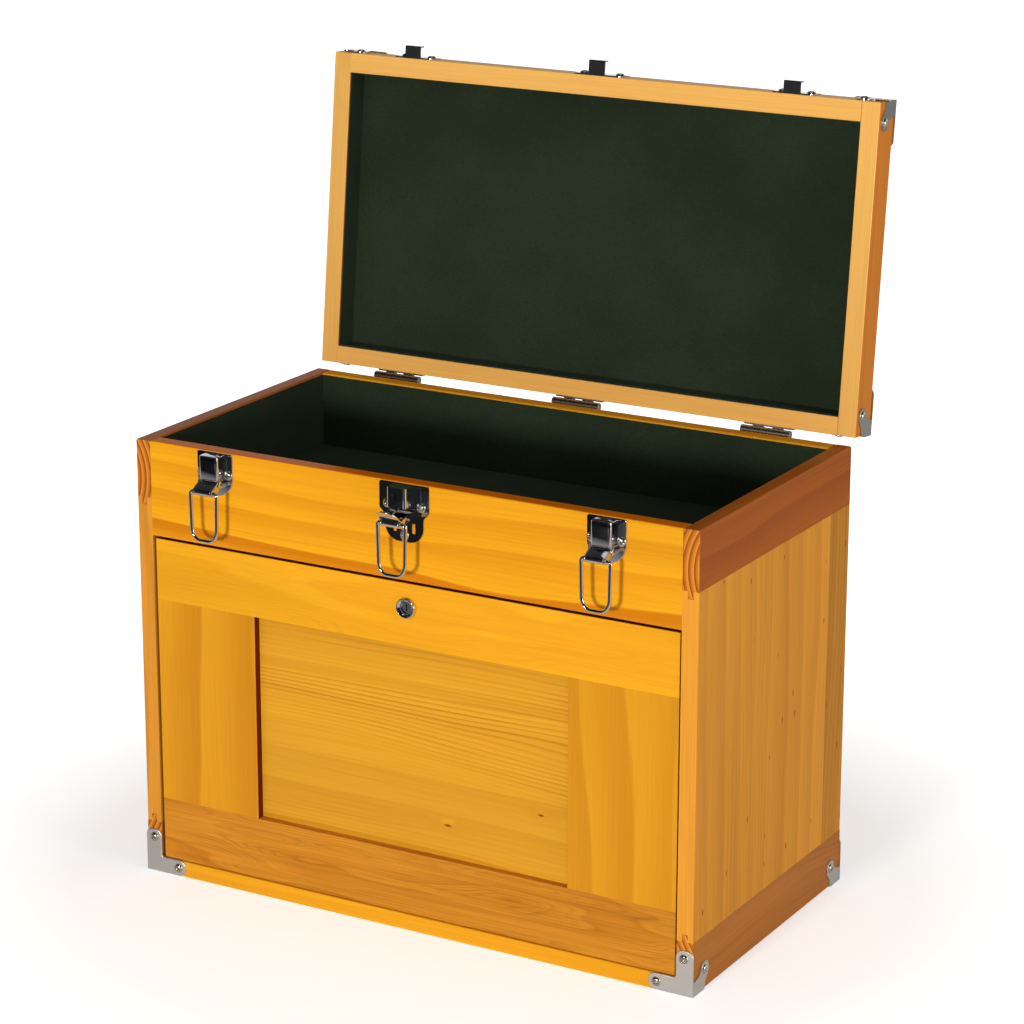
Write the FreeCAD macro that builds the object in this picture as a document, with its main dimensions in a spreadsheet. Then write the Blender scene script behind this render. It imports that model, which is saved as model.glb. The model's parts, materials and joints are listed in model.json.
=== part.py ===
"""Machinist tool chest: a wooden case with eight drawers behind a lift-off front panel,
a felt-lined top compartment and a hinged lid held by three draw latches.

Millimetres. X is to the right, Y to the back, Z up; the origin is on the floor, under the
middle of the case. The lid stands open, the levers stand out and their bails hang.
"""
import FreeCAD, Part
import math
import os
from types import SimpleNamespace

import Sketcher
from FreeCAD import Vector

NODE_FOLDER = "parts"
SMALL_ROWS = 3

# Tolerances in millimetres and cubic millimetres.
SAME_PLACE = 1e-3
ON_LEVEL = 1e-4
NO_CUT = 1e-6

# Rounds as shares of the half width of the end that they turn.
FULL_END = 0.9
EYE_END = 0.95
CAM_HEEL = 0.6
TONGUE_END = 0.85
ROD_ELBOW = 0.6
# How far out the grip swells, as a share of its half length.
GRIP_SWELL = 0.55
# The corners of a flange's lobe about its screw: across, up and their round, in end radii.
FLANGE_LOBE = [(0.2, -1.5, 0.7), (1.0, -0.6, 0.7), (1.0, 1.0, 0.82), (-0.75, 1.0, 0.78),
               (-1.2, -0.35, 0.5)]
# The profile of a knob: shares of its length, with the round in radii of neck or head.
KNOB_FOOT = 0.1
KNOB_NECK = [(0.25, 0.4), (0.5, 0.5)]
KNOB_HEAD = [(0.64, 0.25), (1.0, 0.5)]

# Driving dimensions. Every one is a cell of the sheet, under its own name.
SIZES = [
    # case
    ("case_width", 440.0),
    ("case_depth", 232.0),
    ("case_height", 323.0),
    ("side_thickness", 12.0),
    ("front_thickness", 12.0),
    ("back_thickness", 12.0),
    ("bottom_thickness", 11.5),
    ("rail_height", 68.5),
    ("top_band_height", 41.5),
    ("bottom_band_height", 38.5),
    ("tongue_thickness", 4.0),
    ("tongue_length", 5.0),
    ("tongue_gap", 0.3),
    ("edge_round", 1.4),
    ("arris", 0.7),
    ("compartment_depth", 56.0),
    ("floor_thickness", 6.0),
    ("felt_thickness", 1.0),
    ("felt_drop", 1.2),
    # drawer bays
    ("slot_height", 14.0),
    ("deck_thickness", 4.0),
    ("shelf_thickness", 5.0),
    ("divider_thickness", 6.0),
    ("small_bay", 37.0),
    ("wide_bay", 43.0),
    ("deep_bay", 51.0),
    ("bay_setback", 28.0),
    ("stop_width", 14.0),
    # drawers
    ("drawer_lift", 0.2),
    ("drawer_side_gap", 0.6),
    ("drawer_head_gap", 1.0),
    ("drawer_back_gap", 6.0),
    ("drawer_front_thickness", 10.0),
    ("drawer_wall", 6.0),
    ("drawer_base", 3.0),
    ("drawer_side_drop", 4.0),
    ("drawer_arris", 0.8),
    ("wide_knob_spacing", 210.0),
    ("knob_radius", 6.5),
    ("knob_length", 12.5),
    ("knob_neck_radius", 3.0),
    ("knob_foot_radius", 5.0),
    # front panel
    ("panel_thickness", 12.0),
    ("panel_recess", 1.2),
    ("panel_side_gap", 1.4),
    ("panel_top_gap", 2.3),
    ("panel_foot_gap", 0.3),
    ("panel_back_gap", 0.3),
    ("panel_top_rail", 44.7),
    ("panel_bottom_rail", 45.7),
    ("stile_width", 82.3),
    ("field_recess", 5.8),
    ("field_thickness", 4.5),
    ("field_groove", 6.0),
    ("panel_arris", 0.9),
    # panel lock
    ("lock_drop", 17.2),
    ("bezel_radius", 7.7),
    ("bezel_reach", 3.0),
    ("bezel_lip", 1.5),
    ("barrel_radius", 6.0),
    ("barrel_length", 15.0),
    ("plug_radius", 3.8),
    ("plug_inset", 1.0),
    ("running_gap", 0.05),
    ("keyway_width", 1.0),
    ("keyway_height", 5.0),
    ("keyway_depth", 3.0),
    ("cam_width", 8.0),
    ("cam_thickness", 1.6),
    ("cam_length", 24.0),
    # lid
    ("lid_gap", 0.4),
    ("lid_height", 24.6),
    ("lid_side_wall", 14.0),
    ("lid_front_wall", 14.4),
    ("lid_back_wall", 13.0),
    ("lid_board", 5.0),
    ("lid_open_angle", 96.2),
    # hinges
    ("hinge_inset", 68.0),
    ("hinge_width", 38.0),
    ("hinge_pin_offset", 4.5),
    ("hinge_pin_radius", 1.5),
    ("knuckle_radius", 3.0),
    ("knuckle_gap", 0.1),
    ("leaf_thickness", 1.5),
    ("leaf_height", 20.0),
    ("leaf_clearance", 3.5),
    ("leaf_web", 1.8),
    # corner brackets
    ("sheet_thickness", 1.0),
    ("arm_width", 12.2),
    ("arm_length", 32.5),
    ("arm_end_round", 5.0),
    ("arm_inner_round", 1.5),
    ("flange_fold", 11.2),
    ("flange_screw_along", 16.5),
    ("flange_screw_up", 14.5),
    ("flange_end_radius", 5.6),
    ("bend_round", 0.9),
    ("screw_head_radius", 3.4),
    ("screw_head_height", 1.7),
    ("screw_top_radius", 1.5),
    # draw latches
    ("latch_inset", 67.0),
    ("latch_top_drop", 0.6),
    ("latch_sheet", 1.2),
    ("hump_reach", 9.4),
    ("hump_width", 15.0),
    ("hump_top_drop", 1.0),
    ("hump_height", 16.8),
    ("hump_round", 2.0),
    ("side_plate_width", 29.0),
    ("side_plate_height", 31.1),
    ("side_plate_foot", 12.0),
    ("side_plate_shoulder", 18.0),
    ("centre_plate_width", 39.0),
    ("centre_plate_waist", 30.0),
    ("centre_plate_height", 40.4),
    ("centre_plate_shoulder", 18.4),
    ("centre_hump_reach", 12.0),
    ("centre_hump_height", 13.6),
    ("side_screw_spread", 11.0),
    ("centre_screw_spread", 13.2),
    ("latch_screw_drop", 15.0),
    ("latch_foot_screw", 4.6),
    ("slot_spacing", 14.6),
    ("slot_width", 2.4),
    ("slot_length", 7.0),
    ("slot_drop", 13.5),
    ("plate_head_round", 1.5),
    ("plate_side_round", 6.0),
    ("centre_plate_shoulder_round", 2.0),
    ("centre_plate_foot_round", 11.0),
    ("pivot_drop", 21.0),
    ("pivot_reach", 7.0),
    ("pivot_radius", 1.2),
    ("ear_inset", 8.2),
    ("ear_thickness", 0.8),
    ("ear_radius", 2.6),
    ("lever_width", 16.0),
    ("lever_sheet", 1.1),
    ("lever_back", 1.5),
    ("side_lever_arm", 9.45),
    ("side_lever_length", 15.0),
    ("side_lever_open", 60.2),
    ("side_lever_shut", 12.8),
    ("side_tongue_lift", 7.0),
    ("centre_lever_arm", 10.9),
    ("centre_lever_length", 34.0),
    ("centre_lever_open", 73.9),
    ("centre_lever_shut", 11.1),
    ("centre_tongue_lift", 33.0),
    ("lever_boss", 2.5),
    ("wire_radius", 1.4),
    ("bail_half_width", 10.75),
    ("bail_end_round", 8.5),
    ("bail_turn_round", 2.0),
    ("bail_tail", 6.6),
    ("key_plug_radius", 3.0),
    ("key_plug_length", 5.0),
    ("key_plug_inset", 0.3),
    ("key_slot_height", 4.0),
    # strikes on the lid
    ("hook_rise", 4.2),
    ("hook_clearance", 1.6),
    ("hook_width", 13.0),
    ("hook_sheet", 1.0),
    ("hook_lip", 4.0),
    ("side_hook_reach", 9.2),
    ("centre_hook_reach", 11.0),
    ("side_strike_width", 31.0),
    ("centre_strike_width", 38.0),
    ("strike_height", 17.0),
    ("strike_round", 4.0),
    ("strike_foot_round", 1.5),
    ("strike_screw_inset", 4.6),
    ("strike_screw_rise", 9.5),
    # carrying handle
    ("handle_span", 122.0),
    ("handle_reach", 36.0),
    ("handle_rod_radius", 2.5),
    ("handle_bend", 9.0),
    ("handle_height", 8.6),
    ("grip_radius", 7.0),
    ("grip_length", 72.0),
    ("grip_waist_radius", 6.0),
    ("eye_width", 6.0),
    ("eye_radius", 5.0),
    ("foot_length", 30.0),
    ("foot_width", 16.0),
    ("foot_thickness", 1.6),
    ("foot_screw_inset", 5.0),
    ("grip_end_round", 2.0),
    ("grip_waist_round", 20.0),
]

doc = FreeCAD.newDocument("machinist_tool_chest")
sheet = doc.addObject("Spreadsheet::Sheet", "sizes")


class Size:
    """A number together with the sheet formula that gives it."""

    def __init__(self, number, formula=None):
        self.number = float(number)
        self.formula = formula or repr(float(number))

    def joined(self, sign, other, number):
        return Size(number, f"({self.formula} {sign} {other.formula})")

    def __add__(self, other):
        other = sized(other)
        return self.joined("+", other, self.number + other.number)

    def __sub__(self, other):
        other = sized(other)
        return self.joined("-", other, self.number - other.number)

    def __mul__(self, other):
        other = sized(other)
        return self.joined("*", other, self.number * other.number)

    def __truediv__(self, other):
        other = sized(other)
        return self.joined("/", other, self.number / other.number)

    def __radd__(self, other):
        return sized(other) + self

    def __rsub__(self, other):
        return sized(other) - self

    def __rmul__(self, other):
        return sized(other) * self

    def __neg__(self):
        return sized(0) - self


def sized(value):
    return value if isinstance(value, Size) else Size(value)


def sine(angle):
    return Size(math.sin(math.radians(angle.number)), f"sin({angle.formula})")


def cosine(angle):
    return Size(math.cos(math.radians(angle.number)), f"cos({angle.formula})")


def fill_sheet():
    """One row for each driving dimension; gives back their names as attributes."""
    named = {}
    for row, (name, value) in enumerate(SIZES, start=1):
        sheet.set(f"A{row}", name)
        sheet.set(f"B{row}", str(value))
        sheet.setAlias(f"B{row}", name)
        named[name] = Size(value, f"sizes.{name}")
    doc.recompute()
    return SimpleNamespace(**named)


dim = fill_sheet()
nodes = {}


def bind(thing, field, value):
    thing.setExpression(field, sized(value).formula)


def node(label, thing):
    """Hands a finished sub-part in under its name."""
    thing.Label = label
    nodes[label] = thing
    return thing


def move(thing, x=0, y=0, z=0):
    for axis, value in zip("xyz", (x, y, z)):
        bind(thing, f"Placement.Base.{axis}", value)
    return thing


def turn(thing, angle):
    """Turns a piece about its own X axis."""
    thing.Placement = FreeCAD.Placement(Vector(), FreeCAD.Rotation(Vector(1, 0, 0), 1))
    bind(thing, "Placement.Rotation.Angle", angle)
    return thing


# ---- sketches and features --------------------------------------------------------------

def new_body(name):
    return doc.addObject("PartDesign::Body", name)


def sketch_on(body, plane, offset):
    """A sketch parallel to one of the body's own planes, offset along its normal.

    The normals are +Z for XY, -Y for XZ and +X for YZ.
    """
    sketch = body.newObject("Sketcher::SketchObject", f"{body.Name}_outline")
    role = f"{plane}_Plane"
    origin_plane = next(each for each in body.Origin.OriginFeatures if each.Role == role)
    sketch.AttachmentSupport = [(origin_plane, "")]
    sketch.MapMode = "FlatFace"
    bind(sketch, "AttachmentOffset.Base.z", offset)
    return sketch


def hold(sketch, kind, places, value):
    """A driving constraint whose value follows the sheet."""
    value = sized(value)
    index = sketch.addConstraint(Sketcher.Constraint(kind, *places, value.number))
    sketch.setExpression(f"Constraints[{index}]", value.formula)


def fix_point(sketch, element, end, across, up):
    hold(sketch, "DistanceX", (-1, 1, element, end), across)
    hold(sketch, "DistanceY", (-1, 1, element, end), up)


def round_of(corner, before, after, radius):
    """Where a round of this radius leaves and meets the two lines, its centre and its hand."""
    into = (corner - before).normalize()
    away = (after - corner).normalize()
    bend = math.atan2(into.x * away.y - into.y * away.x, into.dot(away))
    back = radius * math.tan(abs(bend) / 2)
    hand = 1 if bend > 0 else -1
    start = corner - into * back
    centre = start + Vector(-into.y, into.x, 0) * hand * radius
    return start, corner + away * back, centre, hand


def draw(sketch, corners, closed=True):
    """Straight lines through the corners (across, up[, radius]); a radius rounds a corner."""
    spots = [Vector(sized(each[0]).number, sized(each[1]).number, 0) for each in corners]
    radii = [sized(each[2]) if len(each) > 2 else None for each in corners]
    count = len(spots)
    rounds = []
    for i, radius in enumerate(radii):
        rounds.append(radius and round_of(spots[i], spots[i - 1], spots[(i + 1) % count],
                                          radius.number))
    lines = []
    for i in range(count if closed else count - 1):
        j = (i + 1) % count
        start = rounds[i][1] if rounds[i] else spots[i]
        end = rounds[j][0] if rounds[j] else spots[j]
        lines.append(sketch.addGeometry(Part.LineSegment(start, end), False))
    for i, corner in enumerate(corners):
        if not closed and i == 0:
            fix_point(sketch, lines[0], 1, corner[0], corner[1])
        elif not closed and i == count - 1:
            fix_point(sketch, lines[-1], 2, corner[0], corner[1])
        elif rounds[i]:
            add_round(sketch, lines[i - 1], lines[i], corner, spots[i], rounds[i])
        else:
            sketch.addConstraint(Sketcher.Constraint("Coincident", lines[i - 1], 2, lines[i], 1))
            fix_point(sketch, lines[i], 1, corner[0], corner[1])
    return sketch


def add_round(sketch, before, after, corner, spot, shape):
    """An arc tangent to the two lines, which still point at the fixed corner."""
    start, end, centre, hand = shape
    angles = [math.atan2(each.y - centre.y, each.x - centre.x) for each in (start, end)]
    ends = (1, 2)
    if hand < 0:
        angles.reverse()
        ends = (2, 1)
    circle = Part.Circle(centre, Vector(0, 0, 1), sized(corner[2]).number)
    arc = sketch.addGeometry(Part.ArcOfCircle(circle, *angles), False)
    point = sketch.addGeometry(Part.Point(spot), True)
    for line in (before, after):
        sketch.addConstraint(Sketcher.Constraint("PointOnObject", point, 1, line))
    sketch.addConstraint(Sketcher.Constraint("Tangent", before, 2, arc, ends[0]))
    sketch.addConstraint(Sketcher.Constraint("Tangent", arc, ends[1], after, 1))
    hold(sketch, "Radius", (arc,), corner[2])
    fix_point(sketch, point, 1, corner[0], corner[1])


def draw_circle(sketch, across, up, radius):
    spot = Vector(sized(across).number, sized(up).number, 0)
    circle = Part.Circle(spot, Vector(0, 0, 1), sized(radius).number)
    element = sketch.addGeometry(circle, False)
    fix_point(sketch, element, 3, across, up)
    hold(sketch, "Radius", (element,), radius)
    return sketch


def plane_offset(plane, low, high):
    """A pad runs along the plane's normal, which for XZ is towards the front."""
    return -sized(high) if plane == "XZ" else sized(low)


def pad(body, plane, low, high, corners=None, circle=None):
    """Fills an outline between two places along the plane's own axis."""
    sketch = sketch_on(body, plane, plane_offset(plane, low, high))
    if corners:
        draw(sketch, corners)
    if circle:
        draw_circle(sketch, *circle)
    feature = body.newObject("PartDesign::Pad", f"{body.Name}_pad")
    feature.Profile = sketch
    bind(feature, "Length", sized(high) - sized(low))
    sketch.Visibility = False
    return feature


def pocket(body, plane, low, high, corners=None, circles=()):
    """Takes an outline or circles out between two places, and checks that it cut."""
    doc.recompute()
    before = body.Shape.Volume
    sketch = sketch_on(body, plane, plane_offset(plane, low, high))
    if corners:
        draw(sketch, corners)
    for circle in circles:
        draw_circle(sketch, *circle)
    feature = body.newObject("PartDesign::Pocket", f"{body.Name}_pocket")
    feature.Profile = sketch
    feature.Reversed = True
    bind(feature, "Length", sized(high) - sized(low))
    doc.recompute()
    if body.Shape.Volume >= before - NO_CUT:
        raise RuntimeError(f"{body.Name}: a pocket cut nothing")
    return feature


def revolve(body, plane, corners):
    """Turns a half outline about the vertical line of its sketch."""
    sketch = draw(sketch_on(body, plane, 0), corners)
    feature = body.newObject("PartDesign::Revolution", f"{body.Name}_turned")
    feature.Profile = sketch
    feature.ReferenceAxis = (sketch, ["V_Axis"])
    feature.Angle = 360
    return feature


def ease(body, radius, **level):
    """Rounds each edge whose ends all lie at the given x, y or z."""
    doc.recompute()
    chosen = []
    for index, edge in enumerate(body.Shape.Edges, start=1):
        ends = [vertex.Point for vertex in edge.Vertexes]
        if ends and all(
            abs(getattr(end, axis) - sized(value).number) < ON_LEVEL
            for end in ends
            for axis, value in level.items()
        ):
            chosen.append(f"Edge{index}")
    if not chosen:
        raise RuntimeError(f"{body.Name}: no edge to ease")
    solid_so_far = body.Tip
    feature = body.newObject("PartDesign::Fillet", f"{body.Name}_eased")
    feature.Base = (solid_so_far, chosen)
    bind(feature, "Radius", radius)
    return feature


def board(name, low, high):
    """A plain board between two opposite corners."""
    box = doc.addObject("Part::Box", name)
    for field, start, end in zip(("Length", "Width", "Height"), low, high):
        bind(box, field, sized(end) - sized(start))
    return move(box, *low)


def mirrored(thing, axis):
    copy = doc.addObject("Part::Mirroring", f"{thing.Name}_opposite")
    copy.Source = thing
    copy.Normal = Vector(*(1 if each == axis else 0 for each in "xyz"))
    return copy


def again(thing, x=0, y=0, z=0):
    """The same piece once more, at another place."""
    copy = doc.addObject("App::Link", f"{thing.Name}_again")
    copy.LinkedObject = thing
    return move(copy, x, y, z)


def group(name, things):
    whole = doc.addObject("Part::Compound", name)
    whole.Links = list(things)
    return whole


def four_corners(thing):
    """A piece made for the right front corner, and its three reflections."""
    left = mirrored(thing, "x")
    return [thing, left, mirrored(thing, "y"), mirrored(left, "y")]


# ---- places shared by several pieces ----------------------------------------------------

right = dim.case_width / 2
front = -dim.case_depth / 2
back = dim.case_depth / 2
rim = dim.case_height
inner_right = right - dim.side_thickness
inner_front = front + dim.front_thickness
inner_back = back - dim.back_thickness
opening_top = rim - dim.rail_height
floor_top = rim - dim.compartment_depth
floor_under = floor_top - dim.floor_thickness
deck_under = dim.bottom_thickness + dim.slot_height
deck_top = deck_under + dim.deck_thickness
bay_front = front + dim.bay_setback
panel_front = front + dim.panel_recess
panel_back = panel_front + dim.panel_thickness
panel_right = inner_right - dim.panel_side_gap
panel_foot = dim.bottom_thickness + dim.panel_foot_gap
panel_head = opening_top - dim.panel_top_gap
lid_foot = rim + dim.lid_gap
lid_top = lid_foot + dim.lid_height
hinge_y = back + dim.hinge_pin_offset
pivot_z = rim - dim.pivot_drop
pivot_y = front - dim.pivot_reach
hook_z = lid_foot + dim.hook_rise
latch_head = rim - dim.latch_top_drop
latch_screw_z = latch_head - dim.latch_screw_drop
side_foot = latch_head - dim.side_plate_height
centre_foot = latch_head - dim.centre_plate_height
strike_screw_z = lid_foot + dim.strike_screw_rise
lock_z = panel_head - dim.lock_drop
latch_spread = right - dim.latch_inset
hinge_spread = right - dim.hinge_inset
knob_spread = (inner_right + dim.divider_thickness / 2) / 2


def shelf_tops():
    """Top faces of the drawer shelves, from the highest down to the deck.

    What the case height leaves over, or takes away, is shared out evenly among the bays.
    """
    bays = [dim.small_bay] * SMALL_ROWS + [dim.wide_bay, dim.deep_bay]
    stack = (len(bays) - 1) * dim.shelf_thickness
    for bay in bays:
        stack = stack + bay
    share = (opening_top - deck_top - stack) / len(bays)
    tops = []
    level = opening_top
    for bay in bays[:-1]:
        level = level - bay - share
        tops.append(level)
        level = level - dim.shelf_thickness
    return tops + [deck_top]


def open_with_lid(thing):
    """Places a piece drawn on the closed lid where the open lid carries it."""
    turned = dim.lid_open_angle
    turn(thing, -turned)
    return move(
        thing,
        0,
        hinge_y - hinge_y * cosine(turned) - rim * sine(turned),
        rim + hinge_y * sine(turned) - rim * cosine(turned),
    )


# ---- case -------------------------------------------------------------------------------

tongue_outer = right - (dim.side_thickness - dim.tongue_thickness) / 2
tongue_inner = tongue_outer - dim.tongue_thickness


def edge_boards(name, foot, head, tongue_end, rounded):
    """A level board of the case sides with a tongue along one edge; both sides."""
    body = new_body(name)
    plain = (right, rounded, dim.edge_round), (inner_right, rounded, dim.edge_round)
    joint = foot if rounded is head else head
    outline = [
        (inner_right, joint),
        (tongue_inner, joint),
        (tongue_inner, tongue_end),
        (tongue_outer, tongue_end),
        (tongue_outer, joint),
        (right, joint),
    ]
    pad(body, "XZ", front, back, outline + list(plain))
    for end in (front, back):
        ease(body, dim.arris, x=right, y=end)
    return group(f"{name}_pair", (body, mirrored(body, "x")))


def side_boards(name, foot, head):
    """The upright staves between the level boards, grooved at both ends."""
    body = new_body(name)
    depth = dim.tongue_length + dim.tongue_gap
    outline = [(inner_right, foot)]
    for level, inward in ((foot, depth), (head, -depth)):
        across = (tongue_inner, tongue_outer) if level is foot else (tongue_outer, tongue_inner)
        outline += [
            (across[0], level),
            (across[0], level + inward),
            (across[1], level + inward),
            (across[1], level),
        ]
        outline.append((right, level) if level is foot else (inner_right, level))
        if level is foot:
            outline.append((right, head))
    pad(body, "XZ", front, back, outline)
    for end in (front, back):
        ease(body, dim.arris, x=right, y=end)
    return group(f"{name}_pair", (body, mirrored(body, "x")))


def cross_board(name, near, far, foot, head, reach):
    """A board across the case or lid with both upper edges rounded."""
    body = new_body(name)
    outline = [(near, foot), (far, foot), (far, head, dim.edge_round),
               (near, head, dim.edge_round)]
    pad(body, "YZ", -reach, reach, outline)
    return body


def make_case():
    band_foot = rim - dim.top_band_height
    band_head = dim.bottom_band_height
    node("case_side_top_bands", edge_boards(
        "top_band", band_foot, rim, band_foot - dim.tongue_length, rim))
    node("case_side_panels", side_boards("side_staves", band_head, band_foot))
    node("case_side_bottom_bands", bottom_bands(band_head))
    node("front_rail", cross_board("rail", front, inner_front, opening_top, rim, inner_right))
    node("back_board", cross_board(
        "back_wall", inner_back, back, dim.bottom_thickness, rim, inner_right))
    base = new_body("base")
    pad(base, "XY", 0, dim.bottom_thickness,
        [(-inner_right, front), (inner_right, front), (inner_right, back), (-inner_right, back)])
    ease(base, dim.arris, y=front, z=dim.bottom_thickness)
    node("bottom_board", base)
    node("compartment_floor", board(
        "compartment_base", (-inner_right, inner_front, floor_under),
        (inner_right, inner_back, floor_top)))
    node("compartment_felt", felt_tray(
        "case_felt", inner_right, inner_front, inner_back, floor_top, rim - dim.felt_drop, 1))
    make_bays()


def bottom_bands(head):
    body = new_body("bottom_band")
    outline = [
        (inner_right, 0),
        (right, 0, dim.arris),
        (right, head),
        (tongue_outer, head),
        (tongue_outer, head + dim.tongue_length),
        (tongue_inner, head + dim.tongue_length),
        (tongue_inner, head),
        (inner_right, head),
    ]
    pad(body, "XZ", front, back, outline)
    return group("bottom_band_pair", (body, mirrored(body, "x")))


def felt_tray(name, reach, near, far, low, high, floor_side):
    """Felt glued to four walls and to the floor (1) or the ceiling (-1) of a hollow."""
    skin = dim.felt_thickness
    whole = board(f"{name}_block", (-reach, near, low), (reach, far, high))
    inner_low = low + skin if floor_side > 0 else low - skin
    inner_high = high + skin if floor_side > 0 else high - skin
    hollow = board(f"{name}_hollow", (skin - reach, near + skin, inner_low),
                   (reach - skin, far - skin, inner_high))
    cut = doc.addObject("Part::Cut", name)
    cut.Base = whole
    cut.Tool = hollow
    return cut


def make_bays():
    tops = shelf_tops()
    thick = dim.shelf_thickness
    half = dim.divider_thickness / 2
    node("slot_deck", board("deck", (-inner_right, bay_front, deck_under),
                            (inner_right, inner_back, deck_top)))
    shelves = []
    for index, top in enumerate(tops[:2]):
        near_half = board(f"shelf_{index}", (half, bay_front, top - thick),
                          (inner_right, inner_back, top))
        shelves += [near_half, mirrored(near_half, "x")]
    for index, top in enumerate(tops[2:4], start=2):
        shelves.append(board(f"shelf_{index}", (-inner_right, bay_front, top - thick),
                             (inner_right, inner_back, top)))
    node("drawer_shelves", group("shelves", shelves))
    node("centre_divider", board("divider", (-half, bay_front, tops[2]),
                                 (half, inner_back, floor_under)))
    stops = []
    for index, top in enumerate((tops[0], tops[3])):
        stop = board(f"stop_{index}",
                     (inner_right - dim.stop_width, panel_back + dim.panel_back_gap, top - thick),
                     (inner_right, bay_front, top))
        stops += [stop, mirrored(stop, "x")]
    node("panel_stops", group("stops", stops))


# ---- corner brackets and screws ---------------------------------------------------------

def corner_plate(body, skin, low):
    """The L plate of a bracket, flat on the plane y = 0, its corner at x = 0, z = 0."""
    arm = dim.arm_width
    reach = dim.arm_length
    outline = [
        (skin, low),
        (skin, reach, dim.arm_end_round),
        (-arm, reach, dim.arm_end_round),
        (-arm, arm, dim.arm_inner_round),
        (-reach, arm, dim.arm_end_round),
        (-reach, low, dim.arm_end_round),
    ]
    return pad(body, "XZ", -skin, 0, outline)


def flange_outline(skin):
    """A flange that folds round the edge and narrows to one rounded end with a screw."""
    end = dim.flange_end_radius
    along = dim.flange_screw_along
    up = dim.flange_screw_up
    fold = dim.flange_fold
    return [
        (-skin, 0),
        (along, 0, dim.bend_round),
        *[(along + end * across, up + end * rise, end * turned)
          for across, rise, turned in FLANGE_LOBE],
        (skin * 2, fold - skin, skin),
        (-skin, fold, skin / 2),
    ]


def bracket(name, second_flange):
    """Pressed sheet corner: an L plate on the front face and a flange on the side.

    With a second flange, on the plane z = 0, it wraps a whole corner of the lid.
    """
    skin = dim.sheet_thickness
    body = new_body(name)
    corner_plate(body, skin, -skin if second_flange else 0)
    pad(body, "YZ", 0, skin, flange_outline(skin))
    if second_flange:
        pad(body, "XY", -skin, 0, [(-across, up, *rest)
                                   for across, up, *rest in flange_outline(skin)])
    ease(body, dim.bend_round, x=skin, y=-skin)
    return body


def bracket_screws(second_flange):
    """Places of a bracket's screws as (spot, facing), its corner at the origin."""
    skin = dim.sheet_thickness
    near = dim.arm_width / 2
    far = dim.arm_length - dim.arm_width / 2
    spots = [((-near, -skin, far), "front"), ((-far, -skin, near), "front"),
             ((skin, dim.flange_screw_along, dim.flange_screw_up), "side")]
    if second_flange:
        spots.append(((-dim.flange_screw_along, dim.flange_screw_up, -skin), "under"))
    return spots


def screw(name, spot, facing):
    """A low domed head that stands on the face it fastens."""
    head = doc.addObject("Part::Cone", name)
    bind(head, "Radius1", dim.screw_head_radius)
    bind(head, "Radius2", dim.screw_top_radius)
    bind(head, "Height", dim.screw_head_height)
    turns = {"front": ((1, 0, 0), 90), "side": ((0, 1, 0), 90), "under": ((1, 0, 0), 180),
             "back": ((1, 0, 0), -90), "up": ((1, 0, 0), 0)}
    axis, angle = turns[facing]
    head.Placement = FreeCAD.Placement(Vector(), FreeCAD.Rotation(Vector(*axis), angle))
    return move(head, *spot)


def make_brackets():
    low = move(bracket("foot_corner", False), right, front, 0)
    node("case_corner_brackets", group("foot_corners", four_corners(low)))
    upper = on_lid_corner(bracket("lid_corner", True))
    node("lid_corner_brackets", open_with_lid(group("lid_corners", four_corners(upper))))


def on_lid_corner(thing):
    """Turns a bracket so that its L plate lies on the lid and its flanges hang down."""
    thing.Placement = FreeCAD.Placement(Vector(), FreeCAD.Rotation(Vector(1, 0, 0), -90))
    return move(thing, right, front, lid_top)


def make_screws():
    low = group("foot_screws", [screw(f"foot_screw_{index}", *each)
                                for index, each in enumerate(bracket_screws(False))])
    heads = four_corners(move(low, right, front, 0))
    for side, x in (("left", -latch_spread), ("centre", 0), ("right", latch_spread)):
        across = dim.centre_screw_spread if side == "centre" else dim.side_screw_spread
        foot = centre_foot if side == "centre" else side_foot
        face = front - dim.latch_sheet
        spots = [(-across, face, latch_screw_z), (across, face, latch_screw_z),
                 (0, face, foot + dim.latch_foot_screw)]
        row = group(f"{side}_latch_screws", [screw(f"{side}_latch_screw_{index}", spot, "front")
                                             for index, spot in enumerate(spots)])
        heads.append(move(row, x))
    node("case_screws", group("case_screw_heads", heads))
    upper = group("lid_corner_screws", [screw(f"lid_screw_{index}", *each)
                                        for index, each in enumerate(bracket_screws(True))])
    heads = four_corners(on_lid_corner(upper))
    for side, x in (("left", -latch_spread), ("centre", 0), ("right", latch_spread)):
        width = dim.centre_strike_width if side == "centre" else dim.side_strike_width
        across = width / 2 - dim.strike_screw_inset
        spots = [(sign * across, front - dim.hook_sheet, strike_screw_z) for sign in (-1, 1)]
        row = group(f"{side}_strike_screws", [screw(f"{side}_strike_screw_{index}", spot, "front")
                                              for index, spot in enumerate(spots)])
        heads.append(move(row, x))
    across = dim.handle_span / 2 - dim.eye_width / 2
    ends = dim.foot_length / 2 - dim.foot_screw_inset
    for index, (across_sign, end_sign) in enumerate(((-1, -1), (-1, 1), (1, -1), (1, 1))):
        spot = (across_sign * across, end_sign * ends, lid_top + dim.foot_thickness)
        heads.append(screw(f"handle_screw_{index}", spot, "up"))
    node("lid_screws", open_with_lid(group("lid_screw_heads", heads)))


# ---- hinges -----------------------------------------------------------------------------

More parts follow.
